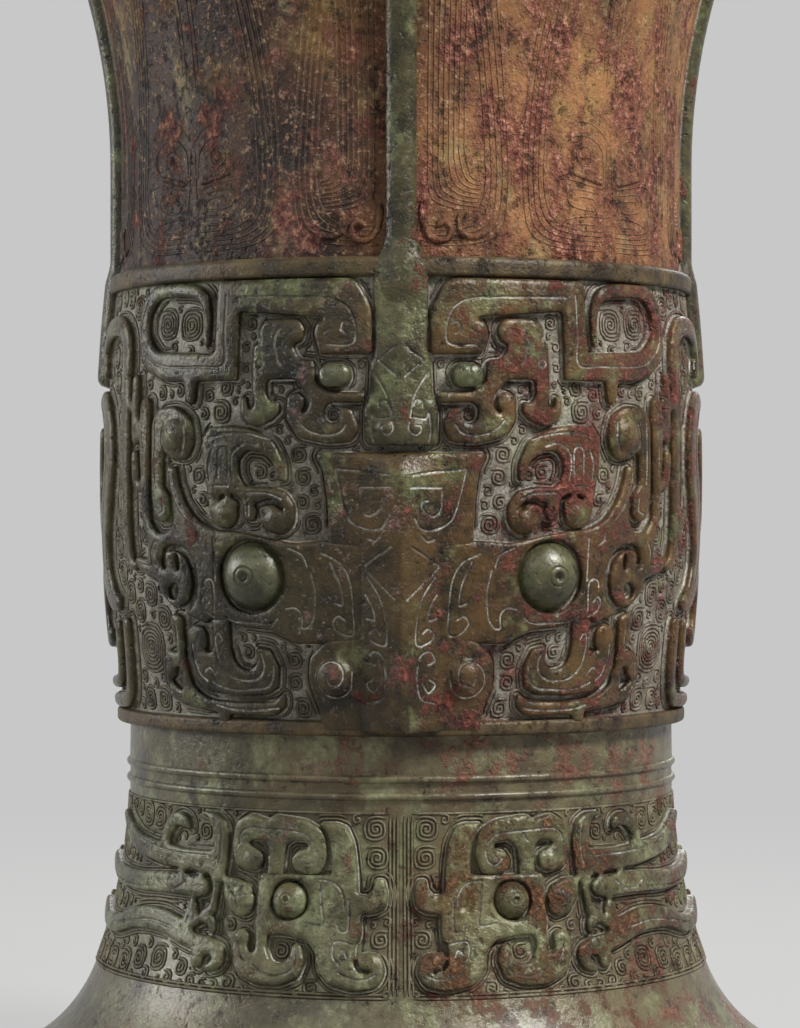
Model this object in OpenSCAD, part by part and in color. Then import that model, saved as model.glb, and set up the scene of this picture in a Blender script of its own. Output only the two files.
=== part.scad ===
// Bronze zun, a ritual wine vessel: a trumpet neck, a drum with two animal masks one
// over the other on each face, and a flaring foot with a smaller mask band.
// The standing plane is z = 0, the axis is Z, and the front mask faces -Y.

/* [Vessel] */
// Height from the standing plane to the lip
vessel_h = 365; // [345:1:385]
// Thickness of the cast wall
wall = 4.2; // [3.6:0.1:5]
// Depth of the lap where one cast section enters the next
lap_h = 5; // [3:0.5:7]
// Play left round each lap
lap_clear = 0.15; // [0.1:0.05:0.3]
// Thickness of the vessel's floor
floor_t = 4.5; // [3:0.5:7]

/* [Neck] */
// How far the throat stands back from the rim of the drum
throat_set_back = 0.7; // [0.2:0.1:1.6]
// Height of the straight throat above the drum
throat_h = 27; // [18:1:36]
// Radius of the mouth, outside the lip
mouth_r = 132; // [124:0.5:138]
// Radius of the half-round flanges up the neck
flange_r = 3.6; // [2.8:0.1:4.4]
// How far the flanges stop below the lip
flange_stop = 5; // [2:1:20]
// Radius of the heavier flange on each side of the drum
side_flange_r = 4.6; // [4:0.1:5.4]
// Length of that flange down the drum
side_flange_h = 28; // [20:1:30]

/* [Drum] */
// Height of the drum
drum_h = 110; // [100:1:120]
// Radius of the drum's ground at its fullest girth
belly_r = 72.6; // [70:0.1:76]
// Height of the fullest girth above the drum's lower edge
belly_z = 62; // [50:1:70]
// Radius of the drum's swell, seen from the side
belly_rho = 435; // [380:5:600]
// Height of the plain moulding at the drum's upper edge
top_ring_h = 4.6; // [3:0.2:6]
// Height of the plain border at the drum's lower edge
low_ring_h = 3.4; // [2:0.2:5]
// How far both mouldings stand proud of the ground
ring_proud = 2.4; // [1.6:0.1:3]

/* [Foot] */
// Height of the foot
foot_h = 98; // [90:1:106]
// How far the foot stands back from the lower edge of the drum
foot_set_back = 0.8; // [0.2:0.1:1.6]
// Height of the straight collar at the top of the foot
collar_h = 13; // [10:0.5:15]
// Radius of the foot's long sweep, seen from the side
sweep_rho = 133; // [115:1:160]
// Height at which the long sweep turns into the flare
flare_z = 38; // [34:0.5:40]
// Radius of the flare, seen from the side
flare_rho = 40; // [32:1:48]
// Steepness of the flare where it rolls over into the rim
flare_angle = 60; // [50:1:66]
// Outer radius of that roll, seen from the side
roll_rho = 9; // [7:0.5:12]
// Radius of the two bowstring lines round the collar
string_r = 0.9; // [0.6:0.1:1.2]

/* [Mask] */
// Height of the drum's relief above its ground
relief_h = 2.4; // [1.6:0.1:3]
// Height of the nose ridge above the ground
keel_h = 5.2; // [3.4:0.1:7]
// Half the thickness of that ridge at its foot
keel_w = 3.4; // [2:0.1:5]
// Radius of the large eyes
eye_r = 8; // [6:0.1:8.3]
// Height of the large eyes above the ground
eye_h = 5.4; // [4:0.1:6.5]
// Diameter of the drilled pupil
pupil_d = 2.2; // [1.4:0.1:3]
// Depth of the pupil
pupil_depth = 1.8; // [0.8:0.1:3]
// Radius of the nostrils
nostril_r = 6.4; // [5:0.1:7]
// Height of the nostrils above the ground
nostril_h = 4.2; // [3.2:0.1:5.5]
// Radius of the roll at the inner end of each horn
roll_end_r = 4.9; // [4:0.1:5.2]
// Radius of the roll at the outer end of each horn
tip_end_r = 3.9; // [3:0.1:4.2]
// Height of both rolls above the ground
roll_end_h = 3.4; // [2.8:0.1:4.5]
// Radius of the round boss at the head of each plume
plume_r = 5.6; // [4:0.1:6]
// Height of that boss above the ground
plume_h = 4; // [3.2:0.1:5.5]
// Width of the small upper eyes
small_eye_w = 7; // [5:0.1:7.4]
// Height of the small upper eyes above the ground
small_eye_h = 3.8; // [3:0.1:5]
// Height of the foot's relief above its ground
foot_relief_h = 2; // [1.2:0.1:2.6]
// Radius of the foot mask's eyes
foot_eye_r = 4.3; // [3:0.1:4.5]
// Height of the foot mask's eyes above the ground
foot_eye_h = 3.6; // [2.6:0.1:4.5]

/* [Hidden] */
$fn = 120;
sweep_fn = 720;
turn_fn = 360;
slack = 20;
drum_z = foot_h;
drum_top = foot_h + drum_h;
belly_mid = drum_z + belly_z;
function drum_r(z) = belly_r - belly_rho + sqrt(pow(belly_rho, 2) - pow(z - belly_mid, 2));
function drum_in_r(z) = belly_r - belly_rho + sqrt(pow(belly_rho - wall, 2) - pow(z - belly_mid, 2));
throat_r = drum_r(drum_top) - throat_set_back;
throat_top = drum_top + throat_h;
// The trumpet's sweep, seen from the side, leaves the throat upright and ends at the mouth
trumpet_h = vessel_h - throat_top;
mouth_flare = mouth_r - throat_r;
trumpet_rho = (pow(trumpet_h, 2) + pow(mouth_flare, 2)) / (2 * mouth_flare);
neck_lap_r = throat_r - wall / 2;
foot_r = drum_r(drum_z) - foot_set_back;
foot_lap_r = foot_r - wall / 2;
collar_z = foot_h - collar_h;
floor_z = foot_h + lap_h;
floor_r = drum_in_r(floor_z) - lap_clear;

// The foot's outline is three arcs that run into each other without a corner
sweep_c = [foot_r + sweep_rho, collar_z];
sweep_a = asin((collar_z - flare_z) / sweep_rho);
flare_c = sweep_c - (sweep_rho - flare_rho) * [cos(sweep_a), sin(sweep_a)];
roll_c = flare_c - (flare_rho + roll_rho) * [cos(flare_angle), sin(flare_angle)];
rim_r = roll_c.x + roll_rho;
function foot_wall_r(z) = sweep_c.x - sqrt(pow(sweep_rho, 2) - pow(collar_z - z, 2));

// The masks are drawn flat, as girth and height in mm on a vessel of these sizes,
// and the drawing is stretched to the register that the mouldings leave
drawn_drum_r = 72.6;
drawn_drum_low = 101.4;
drawn_drum_high = 203.4;
drum_low = drum_z + low_ring_h;
drum_high = drum_top - top_ring_h;
drawn_foot_r = 70;
drawn_foot_low = 38.4;
drawn_foot_high = 80.6;
band_low_gap = 0.4;
band_high_gap = 4.4;
foot_low = flare_z + band_low_gap;
foot_high = collar_z - band_high_gap;
function drum_height(z) = drum_low + (z - drawn_drum_low) * (drum_high - drum_low) / (drawn_drum_high - drawn_drum_low);
function foot_height(z) = foot_low + (z - drawn_foot_low) * (foot_high - foot_low) / (drawn_foot_high - drawn_foot_low);
// Girth that each of these members faces, as drawn
upper_horn_u = 36;
upper_jaw_u = 23;
horn_u = 36;
jaw_u = 46;
dragon_u = 90;
foot_horn_u = 30;
foot_body_u = 66;
function drum_bearing(u) = u / drawn_drum_r * 180 / PI;
function foot_bearing(u) = u / drawn_foot_r * 180 / PI;

// Plates of the drum's mask: girth, height and corner radius, the right half
upper_nose = [[6.6, 203, 1.5], [5.2, 194, 6], [4.8, 187, 2], [6.8, 183.4, 1.5], [7, 177.6, 0.8],
    [5.6, 172, 2], [6.6, 168.6, 1.4], [6.2, 164.6, 1.2]];
upper_horn = [[6.6, 185.4, 1], [19, 185.4, 0.8], [20.4, 192.4, 1], [16, 193.8, 0.3], [39.2, 195.6, 0.4],
    [39.2, 179.8, 0.4], [62, 180, 8], [71, 183.6, 6], [74.4, 191, 8], [73, 199.4, 5], [68, 202.8, 4],
    [58, 202.8, 4], [49.6, 198, 0.3], [61, 198.6, 8], [67, 198, 3], [69.8, 194.6, 3], [68.6, 190.6, 3],
    [64, 187.6, 6], [45.6, 186.2, 0.8], [45.6, 202.2, 1], [10.5, 202.2, 4], [6.6, 196, 8]];
upper_stub = [[21.6, 181.2, 1], [26, 184, 1], [33, 187, 2], [37.6, 184, 2], [37.4, 178.4, 2], [35.4, 174.4, 0.6],
    [36.6, 173.2, 0.4], [37, 175, 0.4], [38.4, 174.8, 0.4], [38, 171.6, 1.4], [34.4, 169.4, 2.4],
    [30.2, 170.6, 1.6], [28, 173.2, 0.8], [28.8, 174.9, 0.5], [30.6, 174.2, 0.6], [31.4, 176, 0.8],
    [31.2, 179.6, 1], [23, 178.6, 1]];
horn_arch = [[27.3, 156.6, 0.4], [28.3, 161.5, 4], [32.5, 166.6, 5], [39, 169, 8], [45.6, 168.7, 3],
    [48.3, 165.8, 2.5], [47.3, 156, 6], [46.6, 150, 1], [38.4, 151.6, 1], [38.6, 160, 2.5],
    [36.8, 163.3, 2], [33.2, 163.2, 2.5], [30, 160.5, 3], [29.2, 156.6, 0.4]];
snout = [[19.6, 163, 0.8], [17.2, 159, 4], [15.6, 152, 6], [14.8, 146, 1.2], [9.4, 145.4, 1],
    [9.4, 104, 1]];
face = [[9.9, 141, 0.8], [16, 142.8, 4], [25, 142.4, 6], [31, 143.6, 3], [38, 145, 6], [46, 145, 4],
    [50.5, 147.5, 4], [54, 153, 4], [55.6, 159.6, 1], [59, 158.2, 1], [58.4, 150, 2], [58.8, 146.4, 1.5],
    [61.5, 144.8, 2], [66.2, 145.4, 0.8], [66.4, 140.6, 1], [74.6, 140.2, 0.3], [72.5, 136.2, 3],
    [66, 133.8, 2], [63.4, 129.6, 2], [58, 126.8, 2], [48.4, 123.9, 1], [42.4, 124, 1], [38.5, 122.4, 2],
    [31, 121.9, 3], [25.4, 119.3, 1], [9.9, 119.8, 0.8]];

// Ribbons of the drum's mask: girth, height and width along the middle line
upper_lid = [[8.4, 175.7, 2.4], [13, 175.6, 2.6], [19, 176.4, 3]];
upper_cheek = [[22.4, 182.4, 5], [22, 177, 7.4], [22.4, 171.6, 7.6], [19.4, 168.2, 5], [15, 167.4, 4.2],
    [12, 169.4, 3], [11.2, 172.2, 2]];
upper_ear = [[20.8, 183.2, 2.4], [24.6, 184.4, 5.4], [28.2, 187.2, 5.2], [28.6, 190.6, 4], [26.2, 192.4, 3],
    [23.8, 191, 2.6]];
horn_bridge = [[42, 154, 4.4], [36, 153.8, 4], [29, 151.6, 4]];
ear_cut = [[60.5, 140.6, 1.2], [56.5, 140.4, 2], [53, 137, 2.2], [52.8, 131.6, 2.2], [55.6, 128.2, 1.8],
    [59.4, 128.6, 1.2]];
plume = [[58, 170.8, 6], [62.2, 170.4, 4.8], [64.1, 165, 4], [64.1, 156, 4.2], [63.3, 150.8, 4], [61, 149.2, 2.4]];
jaw_inner = [[45, 120.4, 5.6], [44.8, 117, 5.2], [42.6, 113.2, 5], [38, 110.9, 4.6], [33.2, 111.2, 4.4],
    [30.4, 114, 3.8], [31.8, 117, 3], [35.4, 118.8, 1.6]];
jaw_hook = [[50.6, 120.2, 4.8], [53, 117.2, 4.4], [52.4, 112.6, 4.4], [48, 110.2, 3.6], [41, 109.2, 2.4]];
jaw_outer = [[27.6, 116.4, 2], [27.6, 109.6, 3.2], [31, 105.2, 3.6], [40, 104.4, 3.2], [50, 105.2, 3.4],
    [57, 106.2, 4.6], [62.2, 107, 4.2], [64.2, 111.2, 3.4], [62.6, 115.4, 3], [59.8, 116.2, 2]];
jaw_limb = [[58.4, 123.4, 4], [57.8, 115, 4], [57.4, 107.6, 4]];
body = [[69.8, 174.2, 3.4], [69.7, 166, 4], [69, 158, 4], [67.9, 150, 2.8], [67.6, 142.8, 2]];
tail = [[81.4, 172.4, 3.6], [80.8, 160, 3.8], [80.4, 148, 3.6], [79, 138, 3.2], [75, 132.8, 2.6], [68.8, 130.8, 1.4]];
quill = [[77, 189, 3], [77, 180, 3.2], [76.4, 168, 3], [75.8, 157, 2.4]];
upper_side = [[82, 185, 3.6], [83, 191, 4], [90, 194, 4.2], [98, 193, 4.2], [102.6, 188, 3.8], [100, 183.6, 2.6]];
lower_frame = [[82.8, 121.6, 2.8], [83.6, 110, 3], [87, 104.8, 3], [96, 103.4, 2.6], [111, 103.2, 2.6]];
inner_frame = [[89.6, 121, 2.6], [90.4, 112.6, 2.8], [93.6, 108.6, 2.6], [102, 107.6, 2.4], [111, 107.4, 2.4]];
dragon_back = [[105, 176.4, 3.6], [99, 175.6, 6], [93.6, 170, 7], [92.6, 161, 7.4], [96, 152, 8], [99.4, 143, 8.4],
    [98.6, 134.6, 8], [93.6, 129, 6], [88, 127.4, 3]];
dragon_snout = [[102, 133.6, 5], [107, 130.4, 5], [108.6, 124, 4.6], [105.4, 118.6, 4.2], [100.8, 119.4, 3]];
dragon_crest = [[104.8, 168, 4.2], [107.6, 160, 4.6], [107, 150, 4.4], [104.4, 145.6, 2.6]];

// Round bosses of the drum's mask: girth and height, and the radius of the large eye's socket
small_eye = [15, 181.2];
horn_roll = [28.2, 148.6];
horn_tip = [43, 149.3];
eye = [35.6, 134.6, 8.5];
nostril = [15.4, 111.2];
plume_head = [56.8, 167.2];

// The foot's mask, drawn the same way
foot_nose = [[18.6, 77.4, 1.6], [14, 75.6, 4.4], [12.8, 70, 5.2], [13, 63, 5.4], [13.4, 57.4, 6], [14.6, 51.4, 10],
    [15, 46, 8], [11.6, 42.6, 4.4], [7.2, 42.8, 3.6], [5.6, 45.6, 2.8], [7, 47.8, 2]];
foot_hook = [[12.6, 59.6, 4], [8, 58.9, 3.4], [5, 60.6, 3.2], [4.8, 64.2, 1.6]];
foot_cheek = [[16, 65.4, 1], [33, 65.4, 1], [33.8, 56, 2], [34, 53.4, 1], [18, 52.4, 1], [16, 56, 1]];
foot_jaw = [[22.6, 50.2, 1.8], [22.8, 45.6, 3], [25.4, 42.6, 3.4], [30.4, 41.9, 3.4], [35.2, 43.2, 3.6],
    [38, 46.6, 3.6], [37.8, 50.4, 3], [35.8, 51.4, 2]];
foot_lip = [[31, 54, 4.6], [32.2, 50, 3.6], [31.6, 46, 3.6], [30.2, 43.2, 3]];
foot_horn_top = [[24, 75.6, 3.4], [30, 76.2, 4.4], [36, 77, 4], [40.2, 75, 4], [40.8, 71, 4], [38.4, 68.6, 3.4],
    [35.6, 69.2, 2.8]];
foot_horn_roll = [[29, 76, 4], [23, 75.2, 3.6], [20, 72, 3.6], [20.4, 68.8, 3.4], [23.6, 67.8, 3], [25.6, 69.4, 2.2]];
foot_horn_stem = [[30.4, 75, 5], [30.2, 70.4, 4.4], [30.6, 68.4, 4]];
foot_drop = [[43.4, 64.4, 0.4], [36.4, 62.2, 3], [35.6, 57.6, 2.6], [40, 56, 2.4], [42.8, 59.4, 3]];
foot_stem = [[46, 77.6, 2.6], [45.9, 73, 4.2], [46.3, 67, 4], [46.3, 60, 3.4], [45, 56.4, 2.4], [41, 53.8, 1.6]];
foot_band = [[45, 68.8, 4.6], [56, 68.9, 4.8], [66, 69, 4.4], [78, 69.6, 4.4], [86, 72, 4], [92, 75.8, 2.4]];
foot_quill = [[65, 70, 3], [63.8, 74.4, 3.4], [60.6, 76.9, 3], [57, 76.5, 1.6]];
foot_rib = [[50.4, 60.8, 4.2], [56, 61.6, 4.4], [66, 61.2, 4.2], [78, 60.6, 4], [92, 61.6, 4], [104, 64.2, 3]];
foot_curl_top = [[56, 51.8, 4], [52.6, 51.8, 3.4], [50, 53.4, 2.6], [47.4, 52.8, 2.2], [46.8, 51, 1.6]];
foot_curl_low = [[56.5, 50.4, 4], [51, 49, 3.4], [46, 48.4, 3.2], [43.4, 46, 2.8], [44.4, 43.8, 2.4], [47, 44.4, 1.8]];
foot_tail = [[55, 51, 5], [64, 53, 5.6], [74, 52.4, 5], [84, 49.8, 4.4], [94, 50, 3.6], [104, 53.4, 2]];
foot_eye = [26, 60];

masks = ["front", "back"];
sides = ["right", "left"];
drum_pieces = ["upper_horn", "upper_jaw", "horn", "face", "eye", "plume", "jaw", "dragon"];
foot_pieces = ["horn", "face", "body"];
quarters = ["front", "right", "back", "left"];

neck_colour = "rosybrown";
drum_colour = "darkolivegreen";
mask_colour = "olivedrab";
eye_colour = "darkseagreen";
foot_colour = "darkseagreen";
floor_colour = "saddlebrown";

// Outlines: arcs turned in the corners of a plate, and ribbons run along a smooth middle line
corner_share = 0.48;
corner_step = 25;
ribbon_steps = 3;
end_turns = [-50, -17, 17, 50];
function unit(v) = v / norm(v);
function flat(p) = [p[0], p[1]];
function turn(a) = (a + 540) % 360 - 180;
function corner(a, b, c) =
    let (
        to_a = unit(flat(a) - flat(b)),
        to_c = unit(flat(c) - flat(b)),
        half = acos(to_a * to_c) / 2,
        room = corner_share * min(norm(flat(a) - flat(b)), norm(flat(c) - flat(b))),
        r = min(b[2], room * tan(half)),
        mid = flat(b) + unit(to_a + to_c) * r / sin(half),
        from = flat(b) + to_a * r / tan(half) - mid,
        to = flat(b) + to_c * r / tan(half) - mid,
        start = atan2(from.y, from.x),
        sweep = turn(atan2(to.y, to.x) - start),
        n = max(1, round(abs(sweep) / corner_step))
    )
    [for (i = [0:n]) mid + r * [cos(start + sweep * i / n), sin(start + sweep * i / n)]];
function plate(p) =
    [for (i = [0:len(p) - 1]) each corner(p[(i + len(p) - 1) % len(p)], p[i], p[(i + 1) % len(p)])];
function both_halves(p) =
    concat(p, [for (i = [len(p) - 1:-1:0]) [-p[i][0], p[i][1], p[i][2]]]);
function along(p, i, t) =
    let (
        a = p[max(i - 1, 0)],
        b = p[i],
        c = p[i + 1],
        d = p[min(i + 2, len(p) - 1)]
    )
    (2 * b + (c - a) * t + (2 * a - 5 * b + 4 * c - d) * t * t + (3 * b - a - 3 * c + d) * pow(t, 3)) / 2;
function middle_line(p) =
    concat([for (i = [0:len(p) - 2], j = [0:ribbon_steps - 1]) along(p, i, j / ribbon_steps)], [p[len(p) - 1]]);
function round_end(tip, before) =
    let (way = flat(tip) - flat(before), a = atan2(way.y, way.x))
    [for (t = end_turns) flat(tip) + tip[2] / 2 * [cos(a + t), sin(a + t)]];
function ribbon(p) =
    let (
        c = middle_line(p),
        n = len(c),
        way = [for (i = [0:n - 1]) unit(flat(c[min(i + 1, n - 1)]) - flat(c[max(i - 1, 0)]))],
        side = [for (i = [0:n - 1]) c[i][2] / 2 * [-way[i].y, way[i].x]]
    )
    concat(
        [for (i = [0:n - 1]) flat(c[i]) - side[i]],
        round_end(c[n - 1], c[n - 2]),
        [for (i = [n - 1:-1:0]) flat(c[i]) + side[i]],
        round_end(c[0], c[1]));

// Drawn points seen square on from the bearing at which a piece is raised
function on_drum(points, bearing) =
    [for (p = points) let (z = drum_height(p[1])) [(drum_r(z) + relief_h) * sin(drum_bearing(p[0]) - bearing), z]];
function on_foot(points, bearing) =
    [for (p = points) let (z = foot_height(p[1])) [(foot_wall_r(z) + foot_relief_h) * sin(foot_bearing(p[0]) - bearing), z]];

// Half-plane outlines that the shells and the reliefs share
module box(r0, z0, r1, z1) translate([r0, z0]) square([r1 - r0, z1 - z0]);
module disc(c, r) translate(c) circle(r, $fn = sweep_fn);
module belly_disc(proud) disc([belly_r - belly_rho, belly_mid], belly_rho + proud);
module drum_register(proud) intersection() {
    belly_disc(proud);
    box(0, drum_low, belly_r + slack, drum_high);
}
module drum_outline() {
    intersection() {
        belly_disc(0);
        box(0, drum_z, belly_r + slack, drum_top);
    }
    box(0, drum_high, drum_r(drum_top) + ring_proud, drum_top);
    box(0, drum_z, drum_r(drum_z) + ring_proud, drum_low);
}
module neck_outline() {
    box(0, drum_top, throat_r, throat_top);
    difference() {
        box(0, throat_top, throat_r + trumpet_rho, vessel_h);
        disc([throat_r + trumpet_rho, throat_top], trumpet_rho);
    }
}
module sweep_outline(proud) difference() {
    box(0, flare_z - lap_h, sweep_c.x, collar_z);
    disc(sweep_c, sweep_rho - proud);
}
module foot_outline(proud) {
    bend = sweep_c - (sweep_rho - proud) * [cos(sweep_a), sin(sweep_a)];
    brink = roll_c + (roll_rho + proud) * [cos(flare_angle), sin(flare_angle)];
    box(0, flare_z, foot_r + proud, floor_z);
    sweep_outline(proud);
    difference() {
        box(0, brink.y, flare_c.x, bend.y);
        disc(flare_c, flare_rho - proud);
    }
    box(0, proud, brink.x - 2, brink.y + 1);
    disc(roll_c, roll_rho + proud);
    box(0, proud, rim_r + proud, roll_c.y);
}
module drum_core() rotate_extrude($fn = turn_fn) drum_outline();
module foot_core() rotate_extrude($fn = turn_fn) sweep_outline(0);
module neck_core() rotate_extrude($fn = turn_fn) neck_outline();

// A drawn outline raised square to its bearing and trimmed to the thickness of the relief
module raised(bearing) rotate([0, 0, bearing]) rotate([90, 0, 0]) linear_extrude(height = belly_r + slack) children();
module drum_relief(bearing, proud = relief_h) intersection() {
    raised(bearing) children();
    rotate_extrude($fn = turn_fn) difference() {
        drum_register(proud);
        belly_disc(0);
    }
}
module foot_relief(bearing) intersection() {
    raised(bearing) children();
    rotate_extrude($fn = turn_fn) intersection() {
        difference() {
            disc(sweep_c, sweep_rho);
            disc(sweep_c, sweep_rho - foot_relief_h);
        }
        box(0, foot_low, sweep_c.x, foot_high);
    }
}
module cap_at(r, h, bearing, wall_r, z) {
    ball_r = (r * r + h * h) / (2 * h);
    rotate([0, 0, bearing]) translate([0, -wall_r - h + ball_r, z]) sphere(ball_r);
}
module drum_cap(p, r, h) difference() {
    cap_at(r, h, drum_bearing(p[0]), drum_r(drum_height(p[1])), drum_height(p[1]));
    drum_core();
}
module mirrored(side) mirror([side == "left" ? 1 : 0, 0, 0]) children();
module turned(mask) rotate([0, 0, mask == "back" ? 180 : 0]) children();

// Cast sections
module trumpet_neck() color(neck_colour) rotate_extrude() {
    box(throat_r - wall, drum_top - lap_h + lap_clear, neck_lap_r, drum_top);
    box(throat_r - wall, drum_top, throat_r, throat_top);
    intersection() {
        difference() {
            disc([throat_r + trumpet_rho, throat_top], trumpet_rho + wall);
            disc([throat_r + trumpet_rho, throat_top], trumpet_rho);
        }
        box(0, throat_top, throat_r + trumpet_rho, vessel_h);
    }
}
module mask_drum() color(drum_colour) rotate_extrude() difference() {
    drum_outline();
    belly_disc(-wall);
    box(0, drum_top - lap_h, neck_lap_r + lap_clear, drum_top + slack);
    box(0, drum_z - slack, foot_lap_r + lap_clear, floor_z);
}
module vessel_floor() color(floor_colour) intersection() {
    translate([0, 0, floor_z]) cylinder(r = floor_r, h = floor_t);
    rotate_extrude() intersection() {
        belly_disc(-wall - lap_clear);
        box(0, drum_z, belly_r, drum_top);
    }
}
module foot_ring() color(foot_colour) rotate_extrude() difference() {
    union() {
        foot_outline(0);
        for (z = [collar_z + 3, collar_z - 1]) translate([foot_wall_r(min(z, collar_z)), z]) circle(string_r);
    }
    foot_outline(-wall);
    box(foot_lap_r, foot_h, rim_r, floor_z + slack);
    box(0, floor_z - slack, foot_r - wall, floor_z + slack);
}

// Ribs with a rounded back that follow the neck, heavier where the side ones run down the drum
module rib_section(r) polygon([[wall / 2, -r], [-r / 2, -r], [-0.87 * r, -r / 2], [-r, 0], [-0.87 * r, r / 2],
    [-r / 2, r], [wall / 2, r]]);
module upright_rib(wall_r, r, z0, z1) translate([0, -wall_r, z0]) rotate([0, 0, 90])
    linear_extrude(height = z1 - z0) rib_section(r);
module flange(quarter) color(neck_colour) rotate([0, 0, 90 * search([quarter], quarters)[0]]) {
    climb = asin((vessel_h - flange_stop - throat_top) / trumpet_rho);
    on_side = quarter == "right" || quarter == "left";
    difference() {
        union() {
            upright_rib(throat_r, flange_r, drum_top, throat_top);
            translate([0, -throat_r - trumpet_rho, throat_top]) rotate([90, 0, 90])
                rotate_extrude(angle = climb) translate([trumpet_rho, 0]) rib_section(flange_r);
            if (on_side) upright_rib(drum_r(drum_top), side_flange_r, drum_top - side_flange_h, drum_top);
        }
        neck_core();
        drum_core();
    }
}

// The drum's two masks, right halves
module upper_nose() color(mask_colour) drum_relief(0) polygon(on_drum(plate(both_halves(upper_nose)), 0));
module upper_eyes() {
    b = drum_bearing(small_eye[0]);
    reach = small_eye_w / 2 * [1, 0.77];
    outline = [for (c = [[-1, -1], [1, -1], [1, 1], [-1, 1]])
        [small_eye[0] + c.x * reach.x, small_eye[1] + c.y * reach.y, 0.3 * small_eye_w]];
    color(eye_colour) for (s = sides) mirrored(s) drum_relief(b, small_eye_h) polygon(on_drum(plate(outline), b));
}
module snout() color(mask_colour) {
    drum_relief(0) polygon(on_drum(plate(both_halves(snout)), 0));
    intersection() {
        translate([0, 0, drum_height(snout[5][1])])
            linear_extrude(height = drum_height(snout[0][1]) - drum_height(snout[5][1]))
                polygon([[-keel_w, 0], [keel_w, 0], [keel_w, wall - belly_r], [keel_w / 4, -belly_r - keel_h - wall],
                    [-keel_w / 4, -belly_r - keel_h - wall], [-keel_w, wall - belly_r]]);
        rotate_extrude($fn = turn_fn) difference() {
            drum_register(keel_h);
            belly_disc(0);
        }
    }
    for (s = sides) mirrored(s) drum_cap(nostril, nostril_r, nostril_h);
}
module upper_horn() {
    b = drum_bearing(upper_horn_u);
    color(mask_colour) drum_relief(b) polygon(on_drum(plate(upper_horn), b));
}
module upper_jaw() {
    b = drum_bearing(upper_jaw_u);
    color(mask_colour) {
        drum_relief(b) for (r = [upper_lid, upper_cheek, upper_ear]) polygon(on_drum(ribbon(r), b));
        drum_relief(b) polygon(on_drum(plate(upper_stub), b));
    }
}
module horn() {
    b = drum_bearing(horn_u);
    color(mask_colour) {
        drum_relief(b) {
            polygon(on_drum(plate(horn_arch), b));
            polygon(on_drum(ribbon(horn_bridge), b));
        }
        drum_cap(horn_roll, roll_end_r, roll_end_h);
        drum_cap(horn_tip, tip_end_r, roll_end_h);
    }
}
module face() {
    b = drum_bearing(eye[0]);
    color(mask_colour) drum_relief(b) difference() {
        polygon(on_drum(plate(face), b));
        polygon(on_drum(ribbon(ear_cut), b));
        translate(on_drum([eye], b)[0]) circle(eye[2]);
    }
}
module eye() color(eye_colour) difference() {
    drum_cap(eye, eye_r, eye_h);
    rotate([0, 0, drum_bearing(eye[0])])
        translate([0, pupil_depth - drum_r(drum_height(eye[1])) - eye_h, drum_height(eye[1])])
            rotate([90, 0, 0]) cylinder(d = pupil_d, h = slack);
}
module plume() {
    b = drum_bearing(plume_head[0]);
    color(mask_colour) {
        drum_relief(b) polygon(on_drum(ribbon(plume), b));
        drum_cap(plume_head, plume_r, plume_h);
    }
}
module jaw() {
    b = drum_bearing(jaw_u);
    color(mask_colour) drum_relief(b)
        for (r = [jaw_inner, jaw_hook, jaw_outer, jaw_limb]) polygon(on_drum(ribbon(r), b));
}
module dragon() {
    b = drum_bearing(dragon_u);
    pieces = [body, tail, quill, upper_side, lower_frame, inner_frame, dragon_back, dragon_snout, dragon_crest];
    color(mask_colour) drum_relief(b) for (r = pieces) polygon(on_drum(ribbon(r), b));
}

// The foot's mask, right half
module foot_horn() {
    b = foot_bearing(foot_horn_u);
    color(foot_colour) foot_relief(b)
        for (r = [foot_horn_top, foot_horn_roll, foot_horn_stem]) polygon(on_foot(ribbon(r), b));
}
module foot_face() {
    b = foot_bearing(foot_eye[0]);
    color(foot_colour) {
        foot_relief(b) {
            polygon(on_foot(plate(foot_cheek), b));
            for (r = [foot_nose, foot_hook, foot_jaw, foot_lip]) polygon(on_foot(ribbon(r), b));
        }
        difference() {
            cap_at(foot_eye_r, foot_eye_h, b, foot_wall_r(foot_height(foot_eye[1])), foot_height(foot_eye[1]));
            foot_core();
        }
    }
}
module foot_body() {
    b = foot_bearing(foot_body_u);
    color(foot_colour) foot_relief(b) {
        polygon(on_foot(plate(foot_drop), b));
        for (r = [foot_stem, foot_band, foot_quill, foot_rib, foot_curl_top, foot_curl_low, foot_tail])
            polygon(on_foot(ribbon(r), b));
    }
}

trumpet_neck();
mask_drum();
vessel_floor();
foot_ring();
for (q = quarters)
    flange(q);
for (m = masks) {
    turned(m) upper_nose();
    turned(m) upper_eyes();
    turned(m) snout();
}
for (m = masks, s = sides) {
    turned(m) mirrored(s) upper_horn();
    turned(m) mirrored(s) upper_jaw();
    turned(m) mirrored(s) horn();
    turned(m) mirrored(s) face();
    turned(m) mirrored(s) eye();
    turned(m) mirrored(s) plume();
    turned(m) mirrored(s) jaw();
    turned(m) mirrored(s) dragon();
    turned(m) mirrored(s) foot_horn();
    turned(m) mirrored(s) foot_face();
    turned(m) mirrored(s) foot_body();
}
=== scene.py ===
from math import acos, atan2, ceil, cos, pi, radians, sin, sqrt, tan

import bmesh
import bpy
import numpy as np
from mathutils import Matrix, Vector
from mathutils.kdtree import KDTree


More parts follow.
